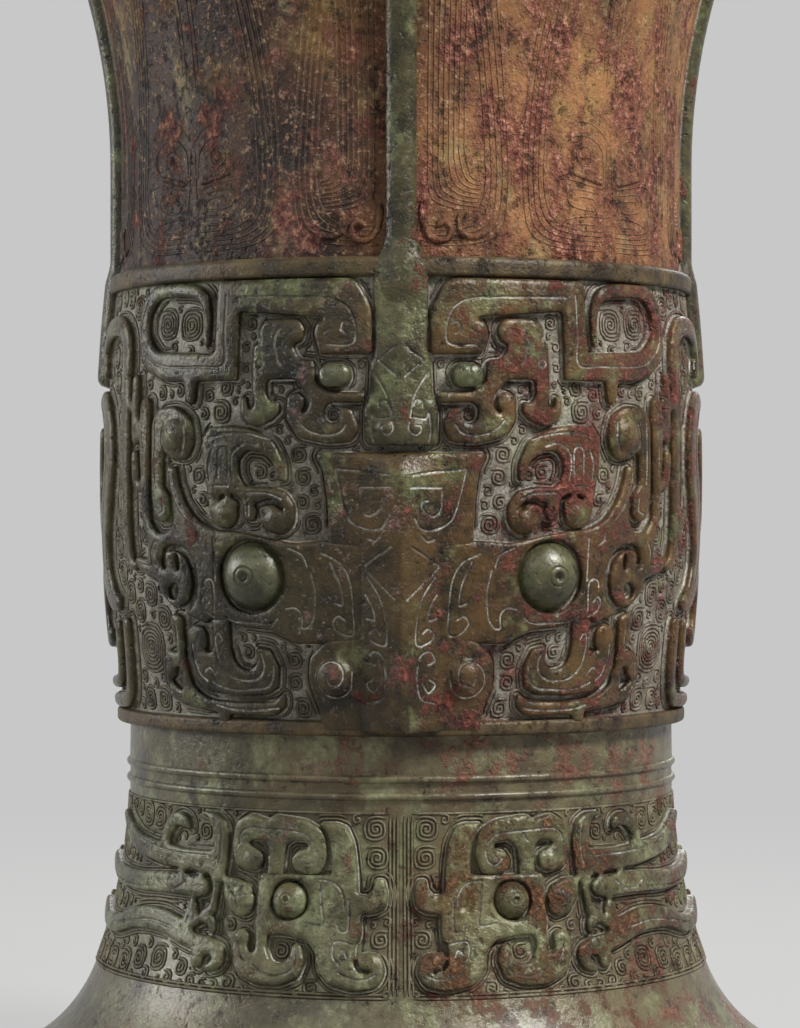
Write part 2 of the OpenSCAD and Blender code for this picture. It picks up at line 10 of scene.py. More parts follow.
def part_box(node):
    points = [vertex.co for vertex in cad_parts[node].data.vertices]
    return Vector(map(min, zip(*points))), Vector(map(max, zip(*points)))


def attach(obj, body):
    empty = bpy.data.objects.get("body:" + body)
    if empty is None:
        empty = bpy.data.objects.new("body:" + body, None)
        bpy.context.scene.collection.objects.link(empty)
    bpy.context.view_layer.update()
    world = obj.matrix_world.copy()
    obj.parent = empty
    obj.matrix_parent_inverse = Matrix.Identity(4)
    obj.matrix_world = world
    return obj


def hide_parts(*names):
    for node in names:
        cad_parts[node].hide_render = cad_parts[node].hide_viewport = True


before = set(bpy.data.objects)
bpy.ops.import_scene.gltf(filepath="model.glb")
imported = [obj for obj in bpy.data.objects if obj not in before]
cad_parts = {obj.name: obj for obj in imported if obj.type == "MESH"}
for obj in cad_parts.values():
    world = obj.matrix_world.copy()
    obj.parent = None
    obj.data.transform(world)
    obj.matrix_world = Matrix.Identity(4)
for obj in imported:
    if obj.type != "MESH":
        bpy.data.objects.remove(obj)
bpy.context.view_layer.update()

# Shapes are drawn in millimetres and turned into metres when they are laid on the vessel
mm = 0.001


def nodeBox(node):
    low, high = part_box(node)
    return low / mm, high / mm


neckLow, neckHigh = nodeBox("trumpet_neck")
drumLow, drumHigh = nodeBox("mask_drum")
footLow, footHigh = nodeBox("foot_ring")
floorLow, floorHigh = nodeBox("vessel_floor")

# The three cast sections, as seen from the side
drumForm = dict(
    bellyR=72.6, bellyUp=62, swell=435, wall=4.2,
    topRing=4.6, lowRing=3.4, ringProud=2.4, girthR=72.6,
)
neckForm = dict(setBack=0.7, throat=27, wall=4.2)
footForm = dict(
    setBack=0.8, collar=13, sweep=133, flareUp=38, flare=40, flareAngle=60, roll=9, wall=4.2,
    string=0.9, stringUps=(3, -1), girthR=70, bandLow=0.4, bandHigh=4.4,
)

drumZ = drumLow.z
drumTop = drumHigh.z
bellyMid = drumZ + drumForm["bellyUp"]
lipZ = neckHigh.z
footTop = drumZ


def drumRadius(z):
    swell = drumForm["swell"]
    return drumForm["bellyR"] - swell + np.sqrt(swell ** 2 - (z - bellyMid) ** 2)


topRing = float(drumRadius(drumTop)) + drumForm["ringProud"]
lowRing = float(drumRadius(drumZ)) + drumForm["ringProud"]
ringTopZ = drumTop - drumForm["topRing"]
ringLowZ = drumZ + drumForm["lowRing"]
throatR = float(drumRadius(drumTop)) - neckForm["setBack"]
throatTop = drumTop + neckForm["throat"]
footR = float(drumRadius(drumZ)) - footForm["setBack"]
collarZ = footTop - footForm["collar"]
mouthFlare = neckHigh.x - throatR
neckForm["sweep"] = ((lipZ - throatTop) ** 2 + mouthFlare ** 2) / (2 * mouthFlare)


def neckRadius(z):
    climb = np.maximum(z - throatTop, 0)
    return throatR + neckForm["sweep"] - np.sqrt(neckForm["sweep"] ** 2 - climb ** 2)


def footRadius(z):
    drop = np.maximum(collarZ - z, 0)
    return footR + footForm["sweep"] - np.sqrt(footForm["sweep"] ** 2 - drop ** 2)


# A flat drawing has girth, height and rise, and each of these lays it on a section's wall
def aroundAxis(radius, bearing, z):
    return np.column_stack((radius * np.sin(bearing), -radius * np.cos(bearing), z)) * mm


def ontoDrum(flat):
    girth, z, rise = flat.T
    return aroundAxis(drumRadius(z) + rise, girth / drumForm["girthR"], z)


def ontoFoot(flat):
    girth, z, rise = flat.T
    lean = np.maximum(collarZ - z, 0) / footForm["sweep"]
    radius = footRadius(z) + rise * np.sqrt(1 - lean ** 2)
    return aroundAxis(radius, girth / footForm["girthR"], z + rise * lean)


def ontoNeck(flat):
    girth, z, rise = flat.T
    lean = np.maximum(z - throatTop, 0) / neckForm["sweep"]
    radius = neckRadius(z) + rise * np.sqrt(1 - lean ** 2)
    return aroundAxis(radius, girth / throatR, z - rise * lean)


# Shader maths: a value wraps a socket, and expressions on values add the nodes
class Value:
    def __init__(self, tree, socket=None):
        self.tree = tree
        self.socket = socket

    def node(self, kind, settings=None, inputs=None, output=0):
        made = self.tree.nodes.new(kind)
        for key, setting in (settings or {}).items():
            setattr(made, key, setting)
        for key, given in (inputs or {}).items():
            if isinstance(given, Value):
                self.tree.links.new(given.socket, made.inputs[key])
            else:
                made.inputs[key].default_value = given
        return Value(self.tree, made.outputs[output])

    def maths(self, operation, a, b=0.0):
        return self.node("ShaderNodeMath", dict(operation=operation), {0: a, 1: b})

    def __add__(self, other):
        return self.maths("ADD", self, other)

    def __sub__(self, other):
        return self.maths("SUBTRACT", self, other)

    def __mul__(self, other):
        return self.maths("MULTIPLY", self, other)

    def __radd__(self, other):
        return self.maths("ADD", other, self)

    def __rsub__(self, other):
        return self.maths("SUBTRACT", other, self)

    def __rmul__(self, other):
        return self.maths("MULTIPLY", other, self)

    def step(self, low, high):
        kind = dict(interpolation_type="SMOOTHSTEP", clamp=True)
        return self.node("ShaderNodeMapRange", kind, {"Value": self, "From Min": low, "From Max": high})

    def blend(self, under, over):
        mixing = {"Factor": self, "A": under, "B": over}
        return self.node("ShaderNodeMix", dict(data_type="RGBA"), mixing, "Result")


def colour(red, green, blue):
    return tuple(((c / 255 + 0.055) / 1.055) ** 2.4 if c > 10 else c / 3300 for c in (red, green, blue))


def rgba(tone):
    return (*colour(*tone), 1)


# The scale, detail, roughness and shift of each noise in the crust
crustNoises = dict(
    broad=(22, 4, 0.55, 0), cloud=(75, 6, 0.62, 3.1), spots=(190, 6, 0.65, 7.7), specks=(520, 4, 0.7, 1.3),
    dust=(1700, 3, 0.6, 5.9), green=(92, 7, 0.66, 11), red=(100, 8, 0.72, 19), patches=(95, 5, 0.6, 23),
)
# Where each layer begins and is full, and how much of it shows
# The right step is where the painted shade of the left half gives way to the right's tones
crustSteps = dict(
    right=(-0.045, 0.035), mottle=(0.38, 0.62), second=(0.5, 0.66), secondMix=(0.36, 0.64),
    speck=(0.35, 0.65), ring=(0.9, 1.9), patches=(0.34, 0.58), groove=(0.25, 0.75), dusty=(0.3, 0.6),
)
crustShares = dict(wander=0.12, second=0.7, pit=0.7, ring=0.85, groove=0.7)
crustDepth = 0.0008
waxRoughness = 0.3
greenLevel = 0.15  # the height in metres above which the drum turns greener


def principled(material):
    material.use_nodes = True
    return next(n for n in material.node_tree.nodes if n.type == "BSDF_PRINCIPLED")


def patina(name, look):
    material = bpy.data.materials.new(name)
    shader = principled(material)
    tree = material.node_tree
    start = Value(tree)
    place = start.node("ShaderNodeTexCoord", output="Object")

    def noise(body, stretch=(1, 1, 1)):
        scale, detail, rough, shift = look["noises"][body]
        moved = {"Vector": place, "Location": (shift, shift, shift), "Scale": stretch}
        spot = start.node("ShaderNodeMapping", inputs=moved)
        kind = dict(noise_dimensions="3D")
        return start.node("ShaderNodeTexNoise", kind,
                          {"Vector": spot, "Scale": scale, "Detail": detail, "Roughness": rough})

    def tint(key):
        return rgba(look[key])

    def layer(value, step):
        return value.step(*crustSteps[step])

    broad = noise("broad")
    cloud = noise("cloud", look["grain"])
    spots = noise("spots", look["grain"])
    specks = noise("specks")
    dust = noise("dust")

    # Painted shade: the left half's tones are darker and greener than the right's, as if the light came from
    # the right
    across = start.node("ShaderNodeSeparateXYZ", inputs={0: place})
    right = layer(across + (broad - 0.5) * crustShares["wander"], "right")
    dark = right.blend(tint("darkLeft"), tint("dark"))
    light = right.blend(tint("lightLeft"), tint("light"))
    tone = layer(cloud * 0.5 + spots * 0.3 + specks * 0.2, "mottle").blend(dark, light)
    second = layer(spots, "secondMix").blend(tint("second"), light)
    tone = (layer(broad, "second") * crustShares["second"]).blend(tone, second)
    height = start.node("ShaderNodeSeparateXYZ", inputs={0: place}, output=2)
    greenBody = noise("green", look["grain"]) + specks * 0.16 + (height - greenLevel) * look["greenUp"]
    green = greenBody.step(*look["greenAt"]) * look["greenMost"]
    tone = green.blend(tone, layer(specks, "speck").blend(tint("green"), tint("paleGreen")))
    # Painted shade also takes red off the left half
    redBody = noise("red", look["grain"]) + specks * 0.2 + (right - 1) * look["redRight"]
    red = redBody.step(*look["redAt"])
    crust = layer(specks, "mottle")
    tone = (red * look["redMost"]).blend(tone, crust.blend(tint("red"), tint("rose")))
    fleck = (specks * 0.6 + dust * 0.4).step(*look["fleckAt"])
    tone = (fleck * look["fleckMost"]).blend(tone, tint("fleck"))
    pit = 1 - (specks * 0.6 + spots * 0.4).step(*look["pitAt"])
    tone = (pit * crustShares["pit"]).blend(tone, tint("pit"))

    # Earth lies low on the relief and in the cut lines, where painted shade also darkens the lines; on the
    # spiral threads the low tone is painted shade
    rise = start.node("ShaderNodeAttribute", dict(attribute_name="rise"), output="Fac")
    cut = start.node("ShaderNodeAttribute", dict(attribute_name="cut"), output="Fac")
    if "ringDark" in look:
        ringTone = layer(cloud * 0.5 + spots * 0.5, "mottle").blend(tint("ringDark"), tint("ringLight"))
        tone = (layer(rise, "ring") * crustShares["ring"]).blend(tone, ringTone)
    # Low parts take the earth tone: pale earth on the relief, painted shade between the spiral threads
    low = 1 - (rise + (spots - 0.5) * look["earthRag"]).step(*look["earthAt"])
    patchy = layer(noise("patches"), "patches")
    groove = layer(cut, "groove")
    # Painted shade: the cut lines are darkened with the pit colour, then dusted with earth
    tone = (groove * crustShares["groove"]).blend(tone, tint("pit"))
    dusty = groove * (0.12 + patchy * 0.88) * layer(spots, "dusty") * look["cutMost"]
    earth = start.maths("MAXIMUM", low * look["earthMost"] * (0.35 + patchy * 0.65), dusty)
    tone = earth.blend(tone, layer(dust, "speck").blend(tint("earth"), tint("paleEarth")))

    rough = look["rough"] + spots * 0.2 + red * 0.16 + earth * 0.25 - 0.1
    rugged = spots * 0.55 + specks * 0.4 + dust * 0.15 + red * crust * look["crust"]
    rugged = rugged + fleck * 0.15 - pit * 0.35
    pitted = {"Height": rugged, "Strength": look["bump"], "Distance": crustDepth}
    bump = start.node("ShaderNodeBump", inputs=pitted)
    for socket, value in {"Base Color": tone, "Roughness": rough, "Normal": bump}.items():
        tree.links.new(value.socket, shader.inputs[socket])
    shader.inputs["Metallic"].default_value = look["metal"]
    shader.inputs["Coat Weight"].default_value = look["wax"]
    shader.inputs["Coat Roughness"].default_value = waxRoughness
    shader.inputs["Specular IOR Level"].default_value = look["specular"]
    return material


# Each look's left tones are painted shade on the vessel's left half, and its red is cut back there
drumLook = dict(
    dark=(30, 23, 13), light=(78, 57, 29), darkLeft=(22, 20, 12), lightLeft=(54, 47, 29), second=(70, 62, 35),
    green=(66, 70, 42), paleGreen=(98, 102, 70), greenAt=(0.6, 0.74), greenUp=0.7, greenMost=0.6,
    red=(70, 27, 21), rose=(110, 56, 46), redAt=(0.58, 0.72), redRight=0.1, redMost=0.85,
    fleck=(150, 134, 106), fleckAt=(0.6, 0.66), fleckMost=0.3, pit=(18, 13, 9), pitAt=(0.34, 0.43),
    earth=(122, 119, 107), paleEarth=(186, 185, 175), earthAt=(0.15, 0.95), earthRag=0.7, earthMost=0.95,
    cutMost=0.85, rough=0.27, crust=0.8, bump=1.0, metal=0.14, wax=0.06, specular=0.24, grain=(1, 1, 1),
    noises=crustNoises,
)
rubbedTones = dict(
    dark=(34, 31, 20), light=(70, 64, 41), darkLeft=(30, 29, 19), lightLeft=(62, 58, 38), second=(64, 63, 41),
)


def bronze(name, **changes):
    return patina(name, {**drumLook, **changes})


maskBronze = bronze("maskBronze")
noseBronze = bronze("noseBronze", **rubbedTones, greenAt=(0.58, 0.74), redAt=(0.64, 0.78))
groundBronze = bronze(
    "groundBronze", dark=(46, 36, 27), light=(76, 62, 48), darkLeft=(38, 34, 25), lightLeft=(68, 59, 45),
    second=(74, 62, 46), redAt=(0.62, 0.74), earthAt=(0.1, 0.5), earthRag=0.6, earthMost=0.35, rough=0.46,
    wax=0.0, ringDark=(32, 25, 15), ringLight=(74, 60, 35),
)
# On these threads the earth tones are dark: painted shade low between the threads
spiralBronze = bronze(
    "spiralBronze", dark=(72, 62, 51), light=(118, 108, 94), darkLeft=(48, 43, 35), lightLeft=(86, 81, 68),
    second=(96, 86, 71), redAt=(0.58, 0.7), redMost=0.75, earth=(32, 25, 19), paleEarth=(50, 41, 32),
    earthAt=(0.06, 0.3), earthRag=0.12, rough=0.46, wax=0.0,
)
eyeBronze = bronze(
    "eyeBronze", dark=(38, 37, 24), light=(74, 72, 49), darkLeft=(35, 35, 24), lightLeft=(68, 68, 48),
    second=(66, 62, 40), greenAt=(0.58, 0.76), greenMost=0.5, redAt=(0.74, 0.86), earthAt=(-0.2, 0.7),
    rough=0.25, bump=0.8, wax=0.2,
)
# The neck's left tones are near black: painted shade on its left half
neckBronze = bronze(
    "neckBronze", dark=(58, 35, 25), light=(126, 87, 55), darkLeft=(21, 13, 10), lightLeft=(46, 29, 22),
    second=(128, 101, 57), green=(88, 80, 48), paleGreen=(122, 112, 78), greenAt=(0.64, 0.76), greenUp=0.0,
    red=(76, 31, 27), rose=(142, 88, 75), redAt=(0.54, 0.7), redRight=0.08, fleck=(170, 140, 108),
    fleckAt=(0.53, 0.63), fleckMost=0.5, pit=(24, 14, 11), pitAt=(0.37, 0.46), earthAt=(0.05, 0.2),
    earthRag=0.1, earthMost=0.05, rough=0.46, crust=1.0, metal=0.06, wax=0.0, specular=0.16,
    grain=(1, 1, 0.6), noises=dict(crustNoises, cloud=(60, 6, 0.62, 3.1)),
)
flangeBronze = bronze(
    "flangeBronze", **rubbedTones, greenAt=(0.58, 0.72), greenUp=0.1, redAt=(0.62, 0.76), earthAt=(-0.3, 0.7),
    rough=0.26,
)
footBronze = bronze(
    "footBronze", dark=(42, 37, 23), light=(86, 82, 56), darkLeft=(40, 38, 25), lightLeft=(82, 81, 58),
    second=(80, 64, 36), green=(84, 88, 60), paleGreen=(118, 122, 91), greenAt=(0.58, 0.72), greenUp=0.0,
    red=(64, 35, 20), rose=(96, 62, 37), redAt=(0.58, 0.7), fleck=(150, 140, 112), pit=(25, 19, 12),
    earthAt=(0.1, 0.8), metal=0.12,
)
footGround = bronze(
    "footGround", dark=(50, 42, 29), light=(86, 78, 56), darkLeft=(46, 42, 29), lightLeft=(80, 76, 56),
    second=(82, 64, 43), green=(84, 87, 60), paleGreen=(114, 116, 87), greenAt=(0.56, 0.72), greenUp=0.0,
    red=(78, 40, 28), rose=(112, 70, 54), redAt=(0.6, 0.74), earthAt=(-0.9, -0.5), rough=0.3, bump=0.8,
    metal=0.1, wax=0.15,
)
# On these threads the earth tones are dark: painted shade low between the threads
footSpiral = bronze(
    "footSpiral", dark=(62, 54, 40), light=(102, 95, 75), darkLeft=(58, 53, 40), lightLeft=(96, 91, 72),
    second=(94, 78, 55), greenUp=0.0, redAt=(0.6, 0.72), redMost=0.7, earth=(32, 26, 18),
    paleEarth=(50, 42, 31), earthAt=(0.06, 0.3), earthRag=0.12, earthMost=0.9, rough=0.44, wax=0.0,
)
insideBronze = bronze(
    "insideBronze", dark=(52, 38, 26), light=(88, 70, 48), second=(78, 76, 54), earthAt=(-0.9, -0.5),
    rough=0.55, wax=0.0,
)
print("materials made")


# Outlines: arcs turned in the corners of a plate, and ribbons run along a smooth middle line
outlineFineness = dict(
    cornerShare=0.48, cornerStep=radians(18), ribbonSteps=5, endTurns=(-60, -36, -12, 12, 36, 60),
)


def cornerArc(before, at, after):
    b = Vector(at[:2])
    toA = (Vector(before[:2]) - b).normalized()
    toC = (Vector(after[:2]) - b).normalized()
    half = toA.angle(toC) / 2
    sides = (Vector(before[:2]) - b).length, (Vector(after[:2]) - b).length
    r = min(at[2], outlineFineness["cornerShare"] * min(sides) * abs(tan(half)))
    middle = b + (toA + toC).normalized() * r / sin(half)
    first = b + toA * r / tan(half) - middle
    last = b + toC * r / tan(half) - middle
    start = atan2(first.y, first.x)
    sweep = (atan2(last.y, last.x) - start + 3 * pi) % (2 * pi) - pi
    steps = max(1, round(abs(sweep) / outlineFineness["cornerStep"]))
    turns = [start + sweep * i / steps for i in range(steps + 1)]
    return [(middle.x + r * cos(t), middle.y + r * sin(t)) for t in turns]


def plateOutline(points):
    before = points[-1:] + points[:-1]
    after = points[1:] + points[:1]
    return [p for corner in zip(before, points, after) for p in cornerArc(*corner)]


def bothHalves(points):
    return points + [(-u, *rest) for u, *rest in reversed(points)]


def smoothLine(points, steps):
    p = np.array([points[0], *points, points[-1]], float)
    line = []
    for a, b, c, d in zip(p, p[1:], p[2:], p[3:]):
        for t in np.arange(steps) / steps:
            line.append((2 * b + (c - a) * t + (2 * a - 5 * b + 4 * c - d) * t ** 2
                         + (3 * b - a - 3 * c + d) * t ** 3) / 2)
    line.append(p[-1])
    return np.array(line)


def ribbonOutline(points):
    line = smoothLine(points, outlineFineness["ribbonSteps"])
    way = np.gradient(line[:, :2], axis=0)
    way /= np.linalg.norm(way, axis=1)[:, None]
    side = np.column_stack((-way[:, 1], way[:, 0])) * line[:, 2:3] / 2

    def roundEnd(tip, heading):
        turns = np.radians(outlineFineness["endTurns"]) + atan2(heading[1], heading[0])
        return tip[:2] + tip[2] / 2 * np.column_stack((np.cos(turns), np.sin(turns)))

    right = line[:, :2] - side
    left = line[:, :2] + side
    return [*right, *roundEnd(line[-1], way[-1]), *left[::-1], *roundEnd(line[0], -way[0])]


def outlinesOf(piece):
    found = [plateOutline(p) for p in piece.get("plates", [])]
    found += [plateOutline(bothHalves(p)) for p in piece.get("doubles", [])]
    found += [ribbonOutline(r) for r in piece.get("ribbons", [])]
    return found


def nearTree(points):
    tree = KDTree(len(points))
    for i, p in enumerate(points):
        tree.insert((p[0], p[1], 0), i)
    tree.balance()
    return tree


# Relief: outlines raised as prisms, fused, rounded at the shoulders and cut with lines
relief = dict(
    rise=2.4, root=-0.4, voxel=0.44, fillet=1.4, drop=0.6, easing=2, easeFrom=0.2, coveUp=1.0, coveOut=0.4,
    wall=(0.15, 0.7), crown=(0.7, 1.03), topFrom=0.4, steep=0.5, cutterTop=9,
)
lineCut = dict(width=0.36, depth=0.42, reach=0.8, steps=24, flat=0.4)
domeFineness = dict(rings=12, turns=36, eyeTurns=72)


def vertsOf(geom):
    return [g for g in geom if isinstance(g, bmesh.types.BMVert)]


def raisePrism(bm, outline, low, high):
    face = bm.faces.new([bm.verts.new((p[0], p[1], low)) for p in outline])
    grown = bmesh.ops.extrude_face_region(bm, geom=[face])["geom"]
    bmesh.ops.translate(bm, verts=vertsOf(grown), vec=(0, 0, high - low))


def spinProfile(bm, u, z, profile, steps):
    verts = [bm.verts.new((u + r, z, h)) for r, h in profile]
    edges = [bm.edges.new(pair) for pair in zip(verts, verts[1:])]
    bmesh.ops.spin(bm, geom=verts + edges, cent=(u, z, 0), axis=(0, 0, 1), dvec=(0, 0, 0), angle=2 * pi,
                   steps=steps, use_merge=True)


def spinDome(bm, u, z, radius, height, root):
    ball = (radius ** 2 + height ** 2) / (2 * height)
    edge = acos(max(-1, min(1, (ball - height) / ball)))
    rings = domeFineness["rings"]
    bends = [edge * i / rings for i in range(rings + 1)]
    profile = [(ball * sin(a), height - ball + ball * cos(a)) for a in bends]
    spinProfile(bm, u, z, profile + [(radius, root)], domeFineness["turns"])
    rim = [e for e in bm.edges if e.is_boundary and all(abs(v.co.z - root) < 1e-4 for v in e.verts)]
    bmesh.ops.edgeloop_fill(bm, edges=rim)


def meshObject(bm, name):
    mesh = bpy.data.meshes.new(name)
    bm.to_mesh(mesh)
    bm.free()
    made = bpy.data.objects.new(name, mesh)
    bpy.context.scene.collection.objects.link(made)
    return made


def discard(*objects):
    for o in objects:
        mesh = o.data
        bpy.data.objects.remove(o)
        bpy.data.meshes.remove(mesh)


def fuse(bm, cutters, voxel):
    bmesh.ops.recalc_face_normals(bm, faces=bm.faces)
    blank = meshObject(bm, "blank")
    tools = []
    if cutters:
        cutBm = bmesh.new()
        for outline in cutters:
            raisePrism(cutBm, outline, relief["root"] - 1, relief["cutterTop"])
        bmesh.ops.recalc_face_normals(cutBm, faces=cutBm.faces)
        tools = [meshObject(cutBm, "cutter")]
        cutting = blank.modifiers.new("cut", "BOOLEAN")
        cutting.operation = "DIFFERENCE"
        cutting.use_self = True
        cutting.object = tools[0]
    fusing = blank.modifiers.new("fuse", "REMESH")
    fusing.mode = "VOXEL"
    fusing.voxel_size = voxel
    fused = bmesh.new()
    fused.from_object(blank, bpy.context.evaluated_depsgraph_get())
    discard(blank, *tools)
    return fused


def roundShoulders(bm, rise, fillet):
    wallLow, wallHigh = [share * rise for share in relief["wall"]]
    crownLow, crownHigh = [share * rise for share in relief["crown"]]
    tree = nearTree([v.co for v in bm.verts if wallLow < v.co.z < wallHigh])
    for v in bm.verts:
        if crownLow < v.co.z < crownHigh:
            inset = tree.find((v.co.x, v.co.y, 0))[2]
            t = max(0, 1 - inset / fillet)
            v.co.z = rise - fillet * relief["drop"] * (1 - sqrt(1 - t * t))
    upper = [v for v in bm.verts if v.co.z > relief["easeFrom"]]
    for _ in range(relief["easing"]):
        bmesh.ops.smooth_vert(bm, verts=upper, factor=0.5, use_axis_x=True, use_axis_y=True, use_axis_z=True)


def coveFoot(bm):
    bm.normal_update()
    for v in bm.verts:
        away = Vector((v.normal.x, v.normal.y, 0))
        if v.co.z < relief["coveUp"] and away.length > relief["steep"]:
            share = 1 - max(0, v.co.z) / relief["coveUp"]
            v.co += away.normalized() * relief["coveOut"] * share ** 2


def cutLines(bm, lines, rise):
    layer = bm.verts.layers.float.new("cut")
    if not lines:
        return
    marks = [p for line in lines for p in smoothLine(line, lineCut["steps"])[:, :2]]
    tree = nearTree(marks)
    bm.normal_update()
    topFrom = relief["topFrom"] * rise
    near = set()
    for face in bm.faces:
        middle = face.calc_center_median()
        if face.normal.z > lineCut["flat"] and middle.z > topFrom:
            if tree.find((middle.x, middle.y, 0))[2] < lineCut["reach"]:
                near.update(face.edges)
    bmesh.ops.subdivide_edges(bm, edges=list(near), cuts=1, use_grid_fill=True)
    for v in bm.verts:
        if v.co.z > topFrom:
            away = tree.find((v.co.x, v.co.y, 0))[2] / lineCut["width"]
            if away < 1:
                v[layer] = 0.5 + 0.5 * cos(pi * away)
                v.co.z -= lineCut["depth"] * v[layer]


def ridgeUp(bm, ridge, rise):
    for v in bm.verts:
        if v.co.z > relief["topFrom"] * rise:
            share = max(0, 1 - abs(v.co.x) / ridge["half"])
            fade = min(1, max(0, (ridge["top"] - v.co.y) / ridge["fade"]))
            down = (ridge["top"] - v.co.y) / (ridge["top"] - ridge["low"])
            v.co.z += (ridge["up"] + (ridge["lowUp"] - ridge["up"]) * down) * share * fade


def modelRelief(piece):
    piece = {**relief, **piece}
    rise = piece["rise"]
    bm = bmesh.new()
    for outline in outlinesOf(piece):
        raisePrism(bm, outline, relief["root"], rise)
    for u, z, radius, height in piece.get("domes", []):
        spinDome(bm, u, z, radius, height, relief["root"])
    cutters = [plateOutline(hole) for hole in piece.get("holes", [])]
    cutters += [ribbonOutline(cut) for cut in piece.get("cuts", [])]
    bm = fuse(bm, cutters, piece["voxel"])
    roundShoulders(bm, rise, piece["fillet"])
    coveFoot(bm)
    if "ridge" in piece:
        ridgeUp(bm, piece["ridge"], rise)
    cutLines(bm, piece.get("lines", []), rise)
    return bm


def keepRise(mesh, rise):
    mesh.attributes.new("rise", "FLOAT", "POINT").data.foreach_set("value", rise.astype(np.float32))


def layPiece(flat, name, onto, side, turn, material, nodes=()):
    mesh = bpy.data.meshes.new(name)
    flat.to_mesh(mesh)
    points = np.empty(len(mesh.vertices) * 3)
    mesh.vertices.foreach_get("co", points)
    points = points.reshape(-1, 3)
    keepRise(mesh, points[:, 2])
    laid = onto(points * (side, 1, 1))
    laid[:, :2] *= -1 if turn else 1
    mesh.vertices.foreach_set("co", laid.ravel())
    if side < 0:
        mesh.flip_normals()
    return finishPiece(mesh, name, material, nodes)


def finishPiece(mesh, name, material, nodes=(), sharp=None):
    mesh.shade_smooth()
    if sharp:
        mesh.set_sharp_from_angle(angle=radians(sharp))
    mesh.materials.append(material)
    mesh.update()
    piece = bpy.data.objects.new(name, mesh)
    bpy.context.scene.collection.objects.link(piece)
    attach(piece, "root")
    if nodes:
        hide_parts(*nodes)
    return piece


# The upper mask
upperNose = dict(
    doubles=[[(6.4, 203, 1), (6.1, 194, 6), (5.8, 187, 1.5), (6.8, 183.6, 1.2), (7, 177, 1.5),
              (8.3, 172.4, 2), (8.2, 164.6, 1.4)]],
    half=[[(1.2, 187.2), (5, 184)], [(1, 180.4), (5, 184)],
          [(6.2, 181.4), (4.4, 178.6), (2.8, 175.4), (2, 171)],
          [(2, 171), (5.4, 170.6), (6.2, 172), (6.6, 168), (6.2, 165.4)],
          [(2.8, 173.6), (3.4, 174.9), (4.7, 174.6), (4.8, 173.4)],
          [(1.9, 170), (1.7, 168.2), (2.9, 166.9), (4.2, 167.6), (4.3, 168.9), (3.4, 169.2)]],
    domes=[(3.6, 168.4, 2.4, 3.4), (-3.6, 168.4, 2.4, 3.4), (6.3, 173.6, 0.8, 3), (-6.3, 173.6, 0.8, 3)],
    ridge=dict(half=6.4, up=0.9, lowUp=2, top=200, low=164, fade=12),
)
upperEyes = dict(
    plates=[[(11.4, 177.9, 2.4), (18.5, 177.9, 2.4), (18.5, 183.4, 2.4), (11.4, 183.4, 2.4)]],
    rise=3.8, fillet=2.6, voxel=0.3,
)
upperHorn = dict(
    plates=[[(6.6, 185.4, 1), (18.6, 185.5, 0.8), (20.2, 190.4, 2), (19.4, 192.8, 1), (15.8, 193.9, 0.3),
             (39.2, 195.7, 0.4), (39.2, 179.8, 0.4), (62, 180, 8), (71, 183.6, 6), (74, 191, 8),
             (73, 199.4, 5), (68, 203, 4), (56, 203, 4), (49.4, 199.8, 0.6), (56, 200, 3), (66, 199.8, 4),
             (69.6, 196, 4), (69.4, 190.8, 4), (65, 187.2, 4), (45.6, 186.2, 0.8), (45.6, 203, 1),
             (10.5, 203, 4), (6.6, 196, 8)]],
    ribbons=[[(60, 201.4, 3.2), (54, 201, 3.2), (50.2, 199.4, 2.8), (48.5, 196, 2), (48, 191.6, 1.5),
              (48.2, 188.4, 1.2)],
             [(53, 181, 3.6), (53, 178, 3.4), (52.8, 175.8, 2.6)]],
    lines=[[(39.6, 199), (30, 198.9), (18, 198.5), (13.4, 197.2), (11, 194.4), (10.2, 190.6), (10.6, 188.2),
            (13, 187.4), (16.8, 187.7)],
           [(11.6, 192.6), (13, 192.9), (13.5, 191.2), (12.4, 190.2)], [(16, 191.3), (17.3, 190.4)],
           [(42.6, 199.6), (42.6, 190), (42.8, 183.4), (50, 183.2), (60, 183.4), (66.4, 185), (71, 189.4),
            (71.6, 194.4), (69.4, 199.4)]],
)
upperJaw = dict(
    plates=[[(19.9, 184.2, 1), (23.4, 184.6, 1.5), (25.2, 187.6, 0.6), (23, 188.6, 1.2), (22.2, 191.4, 1.6),
             (24, 193.7, 1.6), (32, 193.9, 1.6), (33.8, 191, 2), (32.8, 188.6, 0.5), (34.8, 187.8, 0.6),
             (35, 182, 4), (34.9, 177, 1), (34.3, 174.4, 0.8), (35, 172.9, 0.8), (36.3, 173.6, 0.6),
             (36.5, 176.2, 0.4), (37.8, 175.8, 0.8), (38, 172, 2), (36, 169.6, 2.4), (33.6, 169, 2.6),
             (30, 170.4, 1.6), (28, 172.4, 1.2), (28.2, 175, 0.7), (30.2, 174.4, 0.6), (31.6, 176.4, 1),
             (31.4, 179.9, 0.8), (24.6, 179.9, 1), (22.2, 177.6, 0.8), (26.2, 176.2, 1.2), (26.4, 170.4, 3),
             (23.6, 166.4, 3), (17, 165, 5), (11, 165.4, 2.6), (9.2, 168.4, 2.4), (11, 172.9, 1),
             (13.6, 173.3, 0.5), (13.5, 170.6, 1.6), (15.4, 169.4, 1.6), (17.4, 170.6, 1.6),
             (17.6, 173.4, 1.4), (16, 174.5, 0.8), (8.3, 174.4, 0.8), (8, 176.8, 0.8), (16, 176.9, 3),
             (19.3, 179, 1.4)]],
    cuts=[[(23.6, 177.6, 1.2), (21.7, 175.8, 1.1), (21.6, 173.6, 1), (22.8, 172.2, 0.8)]],
    lines=[[(28.4, 191.4), (29.4, 188.6), (28.8, 185.2), (27.8, 183)],
           [(33.9, 183.6), (33, 184.5), (32, 183.6), (33, 182.6), (33.8, 183.2)],
           [(12.2, 169.4), (13.6, 167.6), (17, 166.9), (21, 168), (23.6, 170.4)]],
)

